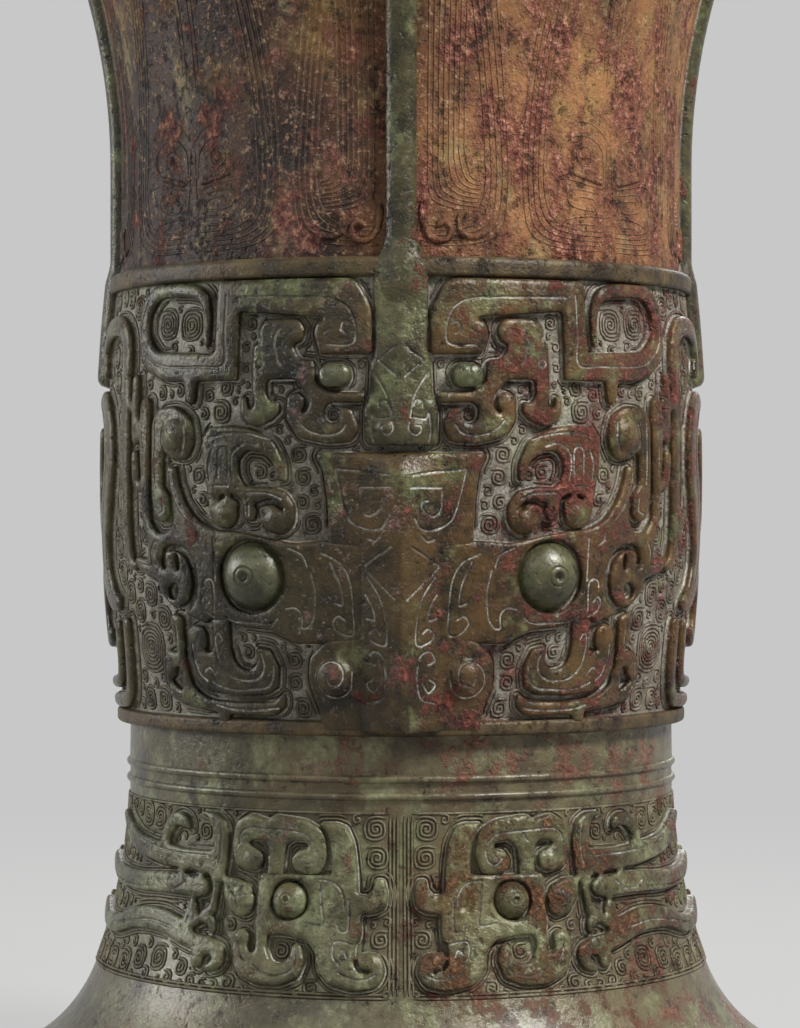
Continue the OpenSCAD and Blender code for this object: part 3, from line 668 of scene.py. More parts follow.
# The main mask
horn = dict(
    plates=[[(27, 156.6, 0.5), (27, 160.6, 3), (29.4, 165.6, 4), (35, 168.8, 7), (41, 169.5, 6),
             (46.6, 169.2, 2.5), (48.8, 166.6, 2.5), (48.4, 160, 8), (47, 152.5, 6), (46.4, 148.4, 3),
             (44.2, 145.7, 2.4), (41, 145.6, 2.4), (38.9, 147.6, 2), (38.7, 152, 1), (37.4, 152.4, 0.8),
             (36.8, 147.3, 1), (34.2, 147.3, 1), (33.6, 151.2, 0.6), (32.7, 150.6, 0.6), (33, 147.6, 2.6),
             (31, 144.7, 2.6), (27.6, 144.3, 2.6), (24.6, 146.6, 2.6), (24.3, 150.8, 2.6),
             (26.6, 154.2, 2.4), (31, 155.3, 4), (36.8, 155.2, 1.4), (38.5, 158, 2), (38.6, 161.4, 2.2),
             (36.4, 163.6, 2), (32.4, 163.1, 2.6), (29.4, 160.6, 2.4), (28.7, 156.6, 0.5)]],
    cuts=[[(33.8, 150.7, 1.2), (31.2, 151.7, 1.1), (28.8, 151.5, 1), (27.2, 149.8, 0.9)],
          [(38.1, 152, 1.2), (40, 153.2, 1.1), (42.8, 153.1, 0.9), (44.6, 151.8, 0.8)]],
    domes=[(28.4, 147.8, 3.8, 3.4), (42.2, 148.9, 3.4, 3.4)],
    lines=[[(33.4, 164.6), (36.6, 165.2), (39.6, 163.4), (40.2, 160), (39.6, 156.8)],
           [(41, 157.6), (41, 163.4), (42.4, 164.4), (43.6, 163.2), (43.6, 158)],
           [(41, 155.4), (44.8, 155.4)], [(45.4, 163.8), (46.4, 160.4), (46, 157)],
           [(30.4, 166), (35.6, 167.4), (42, 167.6), (46.4, 166.6)],
           [(36, 153.8), (31, 153.7), (27.4, 152.4)], [(35.5, 151), (35.5, 148.6)]],
)
snout = dict(
    doubles=[[(19.6, 163, 0.8), (17.6, 159, 4), (16.6, 152, 6), (16.4, 146, 1), (16.4, 141.6, 1),
              (9.4, 141, 1), (9.4, 121, 0.6), (17, 120.4, 3), (21.6, 116, 4), (21.9, 110, 5),
              (19.4, 103.4, 3), (18.6, 98.8, 1)]],
    domes=[(15.2, 111.2, 6.2, 4.6), (-15.2, 111.2, 6.2, 4.6)],
    half=[[(2.6, 157.8), (8, 158.6), (14.6, 159.2)],
          [(14.6, 159.2), (12.4, 150), (10.5, 146.8), (7, 145.4), (4.2, 145.8), (2.9, 148)],
          [(2.2, 155), (9.2, 155)],
          [(9.2, 155), (8.8, 150), (7, 148.5), (4.6, 150.2), (4.8, 151.8), (6, 152)],
          [(2.2, 141.6), (8.6, 137)], [(8.6, 137), (1.4, 129.6)], [(4.6, 144), (5.8, 142.8), (7.4, 143.4)],
          [(7.6, 134.6), (4.4, 129), (3.2, 119.8), (6, 119.6), (7.4, 121.4), (6, 122.8), (4.8, 121.8)],
          [(8, 130.6), (6.4, 127.6), (6, 125), (8, 125.2)],
          [(3.4, 112), (4.2, 116.4), (6.4, 117.6), (7.6, 115.6), (6, 114.6)],
          [(3.4, 112), (4.4, 107), (8, 105.6)], [(4.8, 110.4), (6.2, 108.2), (7.8, 110), (6.4, 111.2)],
          [(11.2, 113), (11.6, 109), (14, 107), (17, 107.4), (19.2, 110), (18.8, 113.4), (16.4, 115.2),
           (13.8, 114.4), (13, 112), (14, 110), (16, 109.8), (17, 111.4)]],
    ridge=dict(half=9.4, up=3.2, lowUp=5, top=164, low=104, fade=6),
)
face = dict(
    plates=[[(5, 142, 0.8), (16, 143, 4), (25, 142.3, 6), (31, 143.4, 4), (38, 144.8, 6), (45.4, 145.4, 4),
             (50.6, 147.6, 4), (54.4, 151.8, 4), (56.6, 156.4, 3), (57.4, 160.2, 0.8), (60.3, 160.2, 0.8),
             (60.4, 155.8, 0.8), (58.2, 153.2, 1.4), (58, 147.6, 2), (60.4, 144.7, 2), (64.6, 144.5, 2),
             (67.6, 147.6, 1.6), (68.2, 153, 0.6), (70.6, 153, 0.6), (68.4, 140.6, 1), (68.4, 138.4, 0.5),
             (73.8, 139, 1.5), (75.4, 137.4, 1), (71.6, 135, 3), (64.7, 133.5, 1), (64.2, 130.6, 2),
             (60.4, 127.6, 2.4), (57.4, 127.2, 0.6), (56.6, 126, 0.6), (51, 124.2, 2.5), (48.6, 123.4, 0.8),
             (47.8, 124.6, 0.5), (42, 124, 0.6), (38, 122.8, 3), (31, 122.2, 3), (27, 120.6, 2),
             (25, 119.2, 1), (5, 119.4, 0.8)]],
    holes=[[(27.1, 126.1, 8.5), (44.1, 126.1, 8.5), (44.1, 143.1, 8.5), (27.1, 143.1, 8.5)],
           [(56.5, 135.6, 0.4), (57.9, 135.7, 0.4), (58.3, 139.4, 0.4), (57, 140.4, 0.4)],
           [(61, 136.4, 0.6), (62.6, 135.8, 0.6), (63.6, 137.4, 0.8), (63, 139.8, 0.8), (61.2, 140.6, 0.6),
            (61.7, 138.4, 0.4)],
           [(57.2, 131, 1), (58.6, 128.8, 1), (60.8, 129.2, 0.8), (61.4, 131.4, 0.9), (59.8, 132.8, 1),
            (57.9, 132.6, 0.9)]],
    cuts=[[(62.6, 140.2, 0.7), (60, 141.1, 1.3), (56.6, 140.8, 1.5), (53.6, 138.8, 1.8), (52.1, 135, 1.9),
           (52.2, 131, 1.9), (54, 127.8, 1.9), (57.8, 125.8, 1.9)]],
    lines=[[(18, 140), (13.6, 137.6), (11.4, 133), (10.8, 126), (10.8, 121.6), (13.4, 121.6), (15.4, 123.8),
            (14.4, 125.6), (12.8, 124.8)],
           [(16, 138), (13.8, 133), (13.2, 128.4), (15, 128.6)],
           [(20.6, 136), (19.6, 131), (20, 125.4), (21.4, 123), (23, 122.8)],
           [(23, 122.8), (22.9, 125.8), (24.4, 127.4), (26.6, 127.2)],
           [(21.4, 137), (22.6, 139.6), (26, 141.2)],
           [(42.6, 125.2), (40, 124.2), (35, 123.8), (30.8, 123.9), (28.8, 125)],
           [(45.4, 143.4), (45.2, 138), (45.2, 133.6)],
           [(45.8, 126.6), (45.7, 132.4), (46.8, 133.9), (48.4, 133.4), (48.7, 132)],
           [(47.2, 128.6), (48.6, 129.8), (49.5, 128.4), (48.4, 126.4), (46, 125.2)],
           [(50.2, 144.8), (50, 143), (48.6, 141.9)],
           [(59, 158.6), (58.4, 155.4), (56, 150.8), (53, 147.6)],
           [(65, 142.4), (66.4, 140.2), (66.6, 136.8), (71, 137)]],
)
eye = dict(
    at=(35.6, 134.6), radius=8.2, height=5.5, pupil=1.15, pupilDeep=1.2, ring=2.3, ringDeep=0.35, root=-0.3,
)
plume = dict(
    plates=[[(66.4, 153, 2), (66.4, 170, 3), (64.6, 174, 2.8), (58, 174.5, 5), (52.6, 171.6, 4),
             (51.3, 165.8, 4), (53.6, 161.7, 3), (58.8, 161.7, 3), (62.1, 164.4, 1.6), (62.2, 155.6, 0.8),
             (60, 153.6, 1), (59.7, 148.8, 1.8), (62, 146.9, 2), (65, 147.8, 2.4)]],
    domes=[(56.9, 167.4, 5, 4.4)],
    lines=[[(54, 170.6), (53.4, 166.8), (54.8, 163.2)], [(61, 170), (61.9, 166.8), (61, 163.6)],
           [(64.4, 170.4), (64.4, 163), (64.2, 156)], [(61.6, 152.6), (61.4, 149.8), (63, 149)]],
)
jaw = dict(
    plates=[[(42, 124.8, 0.5), (42, 118, 3), (40.8, 113.6, 3.4), (36.4, 112.8, 2.4), (34.6, 115, 2),
             (35.2, 118.7, 0.5), (31.4, 118, 1.6), (29.2, 113.6, 3), (29.6, 109, 1.6), (33, 107.2, 3),
             (41, 106.9, 10), (49, 107.5, 5), (53.6, 110, 4), (55.1, 115, 6), (54.9, 123.3, 2.4),
             (49.4, 123, 2.2), (49, 118.2, 1), (50.6, 117.2, 0.4), (47.6, 116.8, 1), (46.8, 118.2, 1),
             (46.9, 124.8, 0.5)],
            [(56.6, 124.8, 1), (59.6, 126, 1), (60.8, 124.6, 1), (60.4, 118.6, 0.6), (58.7, 117.9, 0.3),
             (58.9, 116.4, 0.3), (62.4, 117, 1.4), (64.7, 115, 1.6), (64.9, 109, 3), (63.6, 106.2, 2.4),
             (59, 104.5, 5), (52, 103.7, 8), (47.2, 103.4, 0.6), (46.6, 100.6, 0.5), (44, 100.6, 0.5),
             (43.6, 102.4, 0.6), (31, 102.3, 3), (27.9, 104.4, 2), (28, 108.2, 0.5), (30.6, 105.8, 3),
             (41, 105.4, 10), (49.8, 106, 5), (54.8, 108.6, 4), (56.6, 114.6, 6)]],
    holes=[[(58.1, 107.5, 0.5), (60.2, 108.2, 0.6), (62.8, 110.2, 0.6), (60.9, 110.7, 0.6),
            (60.6, 112.7, 0.8), (59.2, 113.3, 0.8), (57.9, 112.4, 0.6)]],
    lines=[[(44, 120), (45, 121.3), (46, 120), (45.6, 117), (44.8, 114.2), (43, 112), (40.4, 110.8),
            (36.6, 110.5), (33.8, 111.6), (32.7, 114), (33.4, 116.8)],
           [(30.3, 114), (30.6, 111), (32.4, 109), (36, 108.5), (41, 108.3), (45, 108.9), (47.6, 110)],
           [(46.6, 111.6), (48.2, 113.2), (49.6, 112.6)], [(49.2, 110.2), (51.2, 111.6), (52.2, 113.6)],
           [(53.2, 118.6), (53, 115.4), (51.8, 113.2)],
           [(29.6, 104.2), (36, 103.6), (42, 103.7), (47, 104.6)], [(58.4, 122.6), (58.2, 118.8)],
           [(63, 114.6), (63.4, 110), (62, 107.2)]],
)
dragon = dict(
    ribbons=[[(69.6, 174.8, 3.8), (69.6, 166, 4.2), (69.4, 158, 3.4), (69.2, 152, 2.8), (69, 146, 2.4)],
             [(92, 194.6, 5), (85.4, 194, 5), (80.8, 190, 4.8), (79.8, 180, 4.8), (79.8, 165, 5),
              (79.6, 150, 4.8), (79, 142, 4.2), (77.2, 137.4, 3), (74.6, 136.6, 2)],
             [(74.6, 181, 2.6), (74.4, 173, 3.2), (74, 167, 3.2)],
             [(74.4, 163, 2.6), (73.8, 157.4, 3), (72.2, 155, 2)],
             [(92, 194.6, 5), (98.4, 193, 5.2), (102.6, 188, 4.8), (100, 183.6, 3.2)],
             [(82.8, 122.4, 3.6), (83.6, 110, 4), (87, 104.8, 3.8), (96, 103.4, 3.2), (111, 103.2, 3)],
             [(89.6, 121.6, 3.4), (90.4, 112.6, 3.6), (93.6, 108.8, 3.2), (102, 107.8, 2.8),
              (111, 107.6, 2.6)],
              [(105, 176.4, 4.2), (99, 175.6, 6.8), (93.6, 170, 7.8), (92.6, 161, 8.4), (96, 152, 9),
               (99.4, 143, 9.4),
              (98.6, 134.6, 8.8), (93.6, 129, 6.8), (88, 127.4, 3.6)],
             [(102, 133.6, 5.6), (107, 130.4, 5.6), (108.6, 124, 5.2), (105.4, 118.6, 4.8),
              (100.8, 119.4, 3.4)],
             [(104.8, 168, 4.8), (107.6, 160, 5.4), (107, 150, 5.2), (104.4, 145.6, 3)]],
    lines=[[(69.6, 173), (69.6, 166), (69.4, 158)],
           [(91, 194), (85.6, 193.2), (81.4, 189.4), (80.4, 180), (80.4, 165), (80.2, 150), (79.4, 142)],
           [(99, 174.6), (94.6, 169.4), (93.4, 161), (96.6, 152.4), (100, 143), (98.6, 135.6), (93.6, 130)],
           [(106, 130.6), (107.8, 124.4), (105, 119.8)], [(107, 160), (106.4, 150)]],
    voxel=0.52,
)
for piece in (upperNose, snout):
    piece["lines"] = piece["half"] + [[(-u, z) for u, z in line] for line in piece["half"]]

# The foot's mask
footRelief = dict(rise=2.2, voxel=0.36, fillet=1.2)
footHorn = dict(
    footRelief,
    plates=[[(17.2, 70, 2), (18, 76, 4), (22.6, 78.6, 4), (30.4, 79.5, 2.5), (32.6, 78.3, 0.4), (37, 79.5, 3),
             (41.2, 77.6, 3), (42, 71.6, 4), (40.6, 67.2, 2.4), (36, 66.1, 2), (33.2, 67.2, 1.6),
             (33.2, 70.4, 1.6), (36.2, 71.9, 0.6), (37.4, 72.6, 0.5), (36.4, 73.5, 0.5), (33.2, 73.5, 1.2),
             (31.9, 71.6, 1), (31.8, 64.8, 0.4), (27.8, 64.8, 0.4), (27.8, 69.4, 1.5), (27.5, 72.4, 1.5),
             (25.6, 73.7, 1.2), (22.4, 73.5, 1), (21.5, 72, 0.5), (24.6, 71.2, 1.4), (26, 69.2, 1.6),
             (25.4, 67.2, 1.6), (22.6, 65.9, 2), (18.6, 66, 2)]],
    domes=[(36.2, 69, 2.4, 2.8), (22, 68.6, 2.4, 2.7)],
    lines=[[(20.4, 73), (22.4, 75), (26, 75.7), (32, 76), (37, 76), (39.2, 74.8), (39.6, 72.4)],
           [(19.6, 71.4), (20.2, 69), (22, 68.2), (23.8, 69.6)], [(29, 75.2), (30, 73.6)]],
)
footFace = dict(
    footRelief,
    plates=[[(12.8, 77.2, 1.4), (15, 78, 1), (19.4, 77.9, 0.3), (17, 75.6, 1.5), (16.2, 71, 3),
             (15.9, 65.9, 0.6), (33.7, 65.9, 0.8), (33.8, 53.8, 1), (30.6, 52, 1), (26, 52, 3),
             (20.6, 50.8, 1.5), (18.9, 48.6, 1.5), (18.4, 44.6, 3), (15.6, 41.4, 3.5), (10, 39.9, 4),
             (5, 40.9, 3), (3.3, 44.4, 2.6), (4.2, 47.4, 2), (6.6, 48.8, 1.6), (9.2, 48.6, 0.6),
             (9.3, 50.6, 0.6), (8.8, 53, 2), (9, 57.2, 0.6), (6, 57.3, 2.5), (3.4, 58.6, 2), (2.9, 62, 2),
             (3.8, 65.2, 0.8), (5.8, 65.4, 0.8), (6.2, 62.8, 1.2), (7.6, 61.5, 1), (9.8, 61.8, 0.6),
             (10.2, 68, 4), (11, 73.6, 4)],
            [(22.2, 50, 0.6), (21.1, 46.4, 2), (22.4, 42.4, 2), (26.6, 40.7, 3), (32, 40.7, 4), (37, 42.8, 3),
             (38.9, 47, 3), (39, 51.4, 1.6), (37.2, 53.2, 1.4), (34.9, 51.8, 1.2), (35.3, 49, 0.8),
             (34.2, 47.3, 0.8), (32.9, 48.2, 0.6), (33.6, 54.4, 0.5), (30.2, 54.4, 0.5), (30.6, 49, 1.4),
             (29, 46, 2), (26, 45.6, 2), (24.4, 47.4, 1.4), (24, 50.2, 0.5)]],
    cuts=[[(9.5, 50.6, 1), (9.9, 47, 0.9), (8.9, 44.8, 0.9), (7, 44.2, 0.8)]],
    holes=[[(21.1, 55.3, 4.7), (30.5, 55.3, 4.7), (30.5, 64.7, 4.7), (21.1, 64.7, 4.7)]],
    domes=[(6.5, 46.3, 2.4, 3), (13.3, 57.2, 0.9, 2.8), (37, 51, 1.8, 2.8)],
    lines=[[(12.6, 59), (13.2, 62), (15, 64), (18.4, 64.8)],
           [(18.4, 63.6), (17.8, 59), (17.5, 54.6), (21.2, 54.8)],
           [(11.8, 60.4), (11.5, 57), (11.8, 53.4), (13.4, 53.2), (14, 54.6)],
           [(10.8, 50.4), (14.4, 50.8), (14.6, 47.6), (13.2, 45.6)], [(11.6, 47.4), (12.4, 49), (13.4, 48)],
           [(5.4, 43.6), (7.4, 42.5), (10.4, 42.7), (13, 43.8)],
           [(23.5, 49.2), (23, 46), (24.2, 43.6), (27.6, 42.7), (30.4, 43.4), (32.6, 44.8)],
           [(37, 49.4), (36.4, 47), (35, 45.6)]],
    rise=2.3,
)
footEye = dict(
    at=(25.8, 60), radius=4.4, height=4.2, pupil=0.6, pupilDeep=0.7, ring=1.3, ringDeep=0.2, root=-0.3,
)
footBody = dict(
    footRelief,
    plates=[[(43.6, 64.5, 0.4), (40, 64.5, 2), (36.2, 63, 2), (34.7, 60.4, 2), (34.9, 57, 2), (37, 55.6, 1.6),
             (40.6, 56.6, 2.4), (43, 59.8, 3)],
            [(45, 55.4, 1), (44.8, 62, 2), (43.2, 66, 1.4), (42.9, 72.6, 4), (44.2, 77.4, 2.6),
             (47.4, 79.2, 1.5), (54, 79.3, 0.3), (49.2, 77.8, 1.5), (47.7, 74, 2), (47.5, 70.4, 0.8),
             (58, 70.3, 4), (66, 71, 0.5), (66, 65.8, 0.5), (56, 65.4, 4), (48, 64.8, 1.2), (46.4, 62, 2),
             (47, 57.4, 2), (50.6, 55.6, 1)]],
    ribbons=[[(64, 68.4, 5), (72, 69, 4.8), (80, 70.2, 4.4), (86, 72.4, 4), (92, 75.8, 2.4)],
             [(65.4, 70, 3), (64.6, 74, 3.4), (61.4, 76.8, 3.4), (58, 76.6, 2.8), (56.6, 75.4, 1.6)],
             [(50, 61.6, 4.6), (56, 61.8, 5), (66, 61.7, 5), (78, 61, 4.6), (92, 61.6, 4), (104, 64.2, 3)],
             [(58, 51.6, 5), (52, 49.4, 4), (46, 48.6, 3.6), (42.8, 47.2, 3.4), (42.6, 44.8, 2.8),
              (44.6, 43.5, 1.8)],
             [(47, 48, 3.8), (48.4, 46, 3.4), (48, 44.6, 2.8)],
             [(52.4, 56, 3.4), (51.4, 53.6, 2.8), (48.8, 54.4, 2.2), (46, 53.8, 2.2), (45.4, 52, 1.6)],
             [(52.4, 57, 3), (52.8, 53, 3.4), (53, 50, 3.4)],
             [(55, 51.4, 5), (64, 53, 5.6), (74, 52.4, 5), (84, 49.8, 4.4), (94, 50, 3.6), (104, 53.4, 2)]],
    domes=[(38.2, 59.6, 3.2, 3.2), (48.2, 45.2, 1.6, 2.5)],
    lines=[[(49, 68.9), (58, 69), (66, 69.4), (78, 71)], [(55, 62.6), (58.4, 60.6), (62, 60.6), (65, 62)],
           [(66, 60.4), (78, 59.6), (92, 60.4)], [(58, 51.6), (66, 52.4), (76, 51.2), (86, 49.4)],
           [(36.6, 60.6), (39, 60), (40.6, 61)], [(38.4, 61.4), (38.8, 59), (38.2, 57.6)],
           [(45.4, 76.6), (44.8, 72), (45.2, 67.6)]],
    voxel=0.44,
)


def modelEye(eye):
    radius, height = eye["radius"], eye["height"]
    pupil, ring = eye["pupil"], eye["ring"]
    ball = (radius ** 2 + height ** 2) / (2 * height)

    def crown(r):
        return height - ball + sqrt(ball ** 2 - r ** 2)

    floor = crown(0) - eye["pupilDeep"]
    ringTop = crown(ring)
    profile = [(0, floor), (pupil * 0.7, floor + 0.1), (pupil, crown(0) - 0.15), (pupil * 1.2, crown(0))]
    profile += [(ring - 0.25, ringTop), (ring, ringTop - eye["ringDeep"]), (ring + 0.2, ringTop - 0.02)]
    profile += [(r, crown(r)) for r in np.linspace(ring + 0.5, radius * 0.97, 14)]
    profile += [(radius * 1.01, 0.25), (radius * 1.02, eye["root"]), (0, eye["root"])]
    bm = bmesh.new()
    spinProfile(bm, *eye["at"], profile, domeFineness["eyeTurns"])
    bmesh.ops.remove_doubles(bm, verts=bm.verts, dist=0.01)
    bmesh.ops.recalc_face_normals(bm, faces=bm.faces)
    return bm


masks = (("front", False), ("back", True))
sides = (("right", 1), ("left", -1))
drumPieces = dict(
    upper_horn=upperHorn, upper_jaw=upperJaw, horn=horn, face=face, plume=plume, jaw=jaw, dragon=dragon,
)
footPieces = dict(horn=footHorn, face=footFace, body=footBody)


# A quarter's piece is laid on both sides of both masks
def layQuarters(flat, name, onto, material, node=None):
    for mask, turn in masks:
        for side, way in sides:
            nodes = [node.format(mask=mask, side=side)] if node else []
            layPiece(flat, name.format(mask=mask, side=side), onto, way, turn, material, nodes)
    flat.free()


for name, piece in drumPieces.items():
    node = "{mask}_{side}_" + name
    layQuarters(modelRelief(piece), node + "_cast", ontoDrum, maskBronze, node)
for name, piece, material in (("upper_nose", upperNose, noseBronze), ("snout", snout, maskBronze)):
    flat = modelRelief(piece)
    for mask, turn in masks:
        layPiece(flat, f"{mask}_{name}_cast", ontoDrum, 1, turn, material, [f"{mask}_{name}"])
    flat.free()
for name, flat, node in (("eye", modelEye(eye), "{mask}_{side}_eye"),
                         ("upper_eye", modelRelief(upperEyes), "{mask}_upper_eyes")):
    layQuarters(flat, "{mask}_{side}_" + name + "_cast", ontoDrum, eyeBronze, node)
print("drum relief made")

for name, piece in footPieces.items():
    node = "foot_{mask}_{side}_" + name
    layQuarters(modelRelief(piece), node + "_cast", ontoFoot, footBronze, node)
layQuarters(modelEye(footEye), "foot_{mask}_{side}_eye_cast", ontoFoot, footBronze,
            "foot_{mask}_{side}_face")
print("foot relief made")


# Raised threads: the squared spirals of the ground and the drawing on the neck
spiralThread = dict(width=0.86, rise=0.42)
spirals = dict(
    pitch=0.92, perTurn=14, fewestTurns=0.9, heart=0.4, middle=0.12, squareness=0.45, largest=3.4,
    smallest=1.05, grid=0.4, clear=1.3, apart=0.3,
)
contours = dict(offsets=(0.9, 1.8), edgeStep=0.34, side=0.4, edge=0.5, nearest=0.7, fewest=3)
threadEnd = 0.5


def layThreads(*groups):
    bm = bmesh.new()
    for lines, size in groups:
        curve = bpy.data.curves.new("threads", "CURVE")
        curve.dimensions = "3D"
        curve.twist_mode = "Z_UP"
        curve.bevel_depth = size["width"] / 2
        curve.bevel_resolution = 0
        curve.use_fill_caps = True
        for line in lines:
            spline = curve.splines.new("POLY")
            spline.points.add(len(line) - 1)
            for point, (u, z) in zip(spline.points, line):
                point.co = (u, z, 0, 1)
            spline.points[0].radius = spline.points[-1].radius = threadEnd
        drawn = bpy.data.objects.new("threads", curve)
        bpy.context.scene.collection.objects.link(drawn)
        seen = drawn.evaluated_get(bpy.context.evaluated_depsgraph_get())
        mesh = bpy.data.meshes.new_from_object(seen)
        mesh.transform(Matrix.Diagonal((1, 1, size["rise"] / (size["width"] / 2), 1)))
        bm.from_mesh(mesh)
        bpy.data.objects.remove(drawn)
        bpy.data.curves.remove(curve)
        bpy.data.meshes.remove(mesh)
    bmesh.ops.recalc_face_normals(bm, faces=bm.faces)
    return bm


def spiralLine(u, z, radius, hand):
    turns = max(spirals["fewestTurns"], (radius - spirals["heart"]) / spirals["pitch"])
    count = ceil(turns * spirals["perTurn"])
    points = []
    for i in range(count + 1):
        a = 2 * pi * turns * i / count + pi / 4
        r = (radius - spiralThread["width"] / 2) * (1 - i / count) + spirals["middle"]
        square = max(abs(cos(a)), abs(sin(a))) ** -spirals["squareness"]
        points.append((u + hand * r * square * cos(a), z + r * square * sin(a)))
    return points


def insideOutline(points, outline):
    outline = np.array(outline)
    inside = np.zeros(len(points), bool)
    for (x0, y0), (x1, y1) in zip(outline, np.roll(outline, -1, axis=0)):
        if y0 != y1:
            crosses = (y0 > points[:, 1]) != (y1 > points[:, 1])
            inside ^= crosses & (points[:, 0] < (x1 - x0) * (points[:, 1] - y0) / (y1 - y0) + x0)
    return inside


def edgeTree(outlines):
    edges = []
    for outline in outlines:
        ring = np.array([*outline, outline[0]])
        for a, b in zip(ring, ring[1:]):
            edges += [a + (b - a) * t for t in np.arange(0, 1, contours["edgeStep"])]
    return nearTree(edges)


def besideOutline(outline, offset):
    ring = np.array(outline)
    ahead = np.roll(ring, -1, axis=0)
    turn = np.sign(np.sum(ring[:, 0] * ahead[:, 1] - ahead[:, 0] * ring[:, 1]))
    way = ahead - np.roll(ring, 1, axis=0)
    way /= np.maximum(np.linalg.norm(way, axis=1), 1e-6)[:, None]
    ring = ring + turn * offset * np.column_stack((way[:, 1], -way[:, 0]))
    return np.vstack((ring, ring[:1]))


def contourLines(outlines, tree, field, placed):
    discs = np.array([spot[:3] for spot in placed])
    low, high = field["low"] + contours["edge"], field["high"] - contours["edge"]
    lines = []
    for offset in contours["offsets"]:
        for outline in outlines:
            ring = besideOutline(outline, offset)
            covered = np.any([insideOutline(ring, o) for o in outlines], axis=0)
            run = []
            for (u, z), under in zip(ring, covered):
                inField = contours["side"] < u < field["width"] and low < z < high
                apart = tree.find((u, z, 0))[2] > offset * contours["nearest"]
                free = np.all(np.hypot(discs[:, 0] - u, discs[:, 1] - z) > discs[:, 2] + spirals["apart"])
                if inField and apart and free and not under:
                    run.append((u, z))
                else:
                    lines.append(run)
                    run = []
            lines.append(run)
    return [line for line in lines if len(line) >= contours["fewest"]]


def fillGround(outlines, tree, field):
    width, low, high = field["width"], field["low"], field["high"]
    step = spirals["grid"]
    us, zs = np.meshgrid(np.arange(field["margin"], width, step), np.arange(low, high, step))
    spots = np.column_stack((us.ravel(), zs.ravel()))
    room = np.minimum.reduce([spots[:, 0], width - spots[:, 0], spots[:, 1] - low, high - spots[:, 1]])
    for outline in outlines:
        room[insideOutline(spots, outline)] = -1
    for i in np.flatnonzero(room > 0):
        room[i] = min(room[i], tree.find((*spots[i], 0))[2] - spirals["clear"])
    placed = []
    waiting = list(field["chosen"])
    while True:
        if waiting:
            u, z, radius = waiting.pop(0)
        else:
            best = int(np.argmax(np.minimum(room, spirals["largest"])))
            u, z = spots[best]
            radius = min(room[best], spirals["largest"])
            if radius < spirals["smallest"]:
                return placed
        placed.append((u, z, radius, 1 if len(placed) % 2 else -1))
        room = np.minimum(room, np.hypot(spots[:, 0] - u, spots[:, 1] - z) - radius)


# Spirals that stand out, each with its girth, height and radius, are laid before the ground is filled
drumField = dict(
    width=drumForm["girthR"] * pi / 2, low=ringLowZ, high=ringTopZ, margin=0.5, borders=[],
    chosen=[(51.2, 158, 2.5), (49.9, 152.3, 2.1), (30.1, 157.8, 1.7), (33.6, 158.6, 2.1), (15.4, 171.6, 1.7),
            (38, 117, 2), (59.3, 130.8, 1.6), (72.4, 117, 6.4), (71.9, 144, 3), (44.6, 172.6, 3.2),
            (54.8, 193.2, 4.4), (63.6, 193.6, 4.2), (66.6, 131.2, 1.5), (23, 151.6, 2), (22.6, 157.4, 2.4)],
)
footField = dict(
    width=footForm["girthR"] * pi / 2, low=footForm["flareUp"] + footForm["bandLow"],
    high=collarZ - footForm["bandHigh"], margin=3.2,
    chosen=[(6, 76.6, 3.3), (5.7, 70, 3.2), (4.7, 51.6, 2.5), (27.2, 48.6, 2.2), (51.6, 74.6, 2.6),
            (53.8, 43, 2.4), (62, 44.4, 3.6), (70, 43.6, 3.2), (48, 51.4, 1.2)],
)
footUprights = (0.8, 1.7, 2.6)
footLevels = (footField["low"] + 0.4, footField["low"] + 1.2, footField["high"] - 0.4)
uprightHeights = np.linspace(footField["low"] + 1, footField["high"] - 1, 24)
levelGirths = np.linspace(footUprights[-1], footField["width"], 60)
footField["borders"] = [[(u, z) for z in uprightHeights] for u in footUprights]
footField["borders"] += [[(u, z) for u in levelGirths] for z in footLevels]
drumBand = [upperNose, upperEyes, snout, *drumPieces.values()]
for name, pieces, field, onto, material, slotName in (
        ("", drumBand, drumField, ontoDrum, spiralBronze, "drum_bronze"),
        ("foot_", footPieces.values(), footField, ontoFoot, footSpiral, "foot_bronze")):
    outlines = [outline for piece in pieces for outline in outlinesOf(piece)]
    tree = edgeTree(outlines)
    placed = fillGround(outlines, tree, field)
    lines = [spiralLine(*spot) for spot in placed]
    lines += contourLines(outlines, tree, field, placed) + field["borders"]
    layQuarters(layThreads((lines, spiralThread)), name + "{mask}_{side}_spirals", onto, material)
    print(slotName, "ground:", len(placed), "spirals in each quarter")


# Cast sections: side outlines spun round the axis
turning = dict(steps=200, bare=3.0, lipRound=1.2, rimRound=0.9, lap=5, lapGap=0.15, arris=0.4, corner=0.01)


def arcPoints(centre, radius, start, end, count):
    turns = np.linspace(start, end, count)
    return [(centre[0] + radius * cos(a), centre[1] + radius * sin(a)) for a in turns]


def spinSection(name, outline, material, node, sharp=35, riseOf=None):
    bm = bmesh.new()
    verts = [bm.verts.new((r * mm, 0, z * mm)) for r, z in outline]
    edges = [bm.edges.new((a, b)) for a, b in zip(verts, verts[1:] + verts[:1])]
    bmesh.ops.spin(bm, geom=verts + edges, cent=(0, 0, 0), axis=(0, 0, 1), dvec=(0, 0, 0), angle=2 * pi,
                   steps=turning["steps"], use_merge=True)
    bmesh.ops.remove_doubles(bm, verts=bm.verts, dist=1e-6)
    bmesh.ops.recalc_face_normals(bm, faces=bm.faces)
    mesh = bpy.data.meshes.new(name)
    bm.to_mesh(mesh)
    bm.free()
    points = np.array([v.co for v in mesh.vertices]) / mm
    rise = np.full(len(points), turning["bare"])
    if riseOf:
        rise = riseOf(np.hypot(points[:, 0], points[:, 1]), points[:, 2])
    keepRise(mesh, rise)
    return finishPiece(mesh, name, material, [node], sharp)


def softCorner(at, before, after, radius):
    return cornerArc((*before, 0), (*at, radius), (*after, 0))


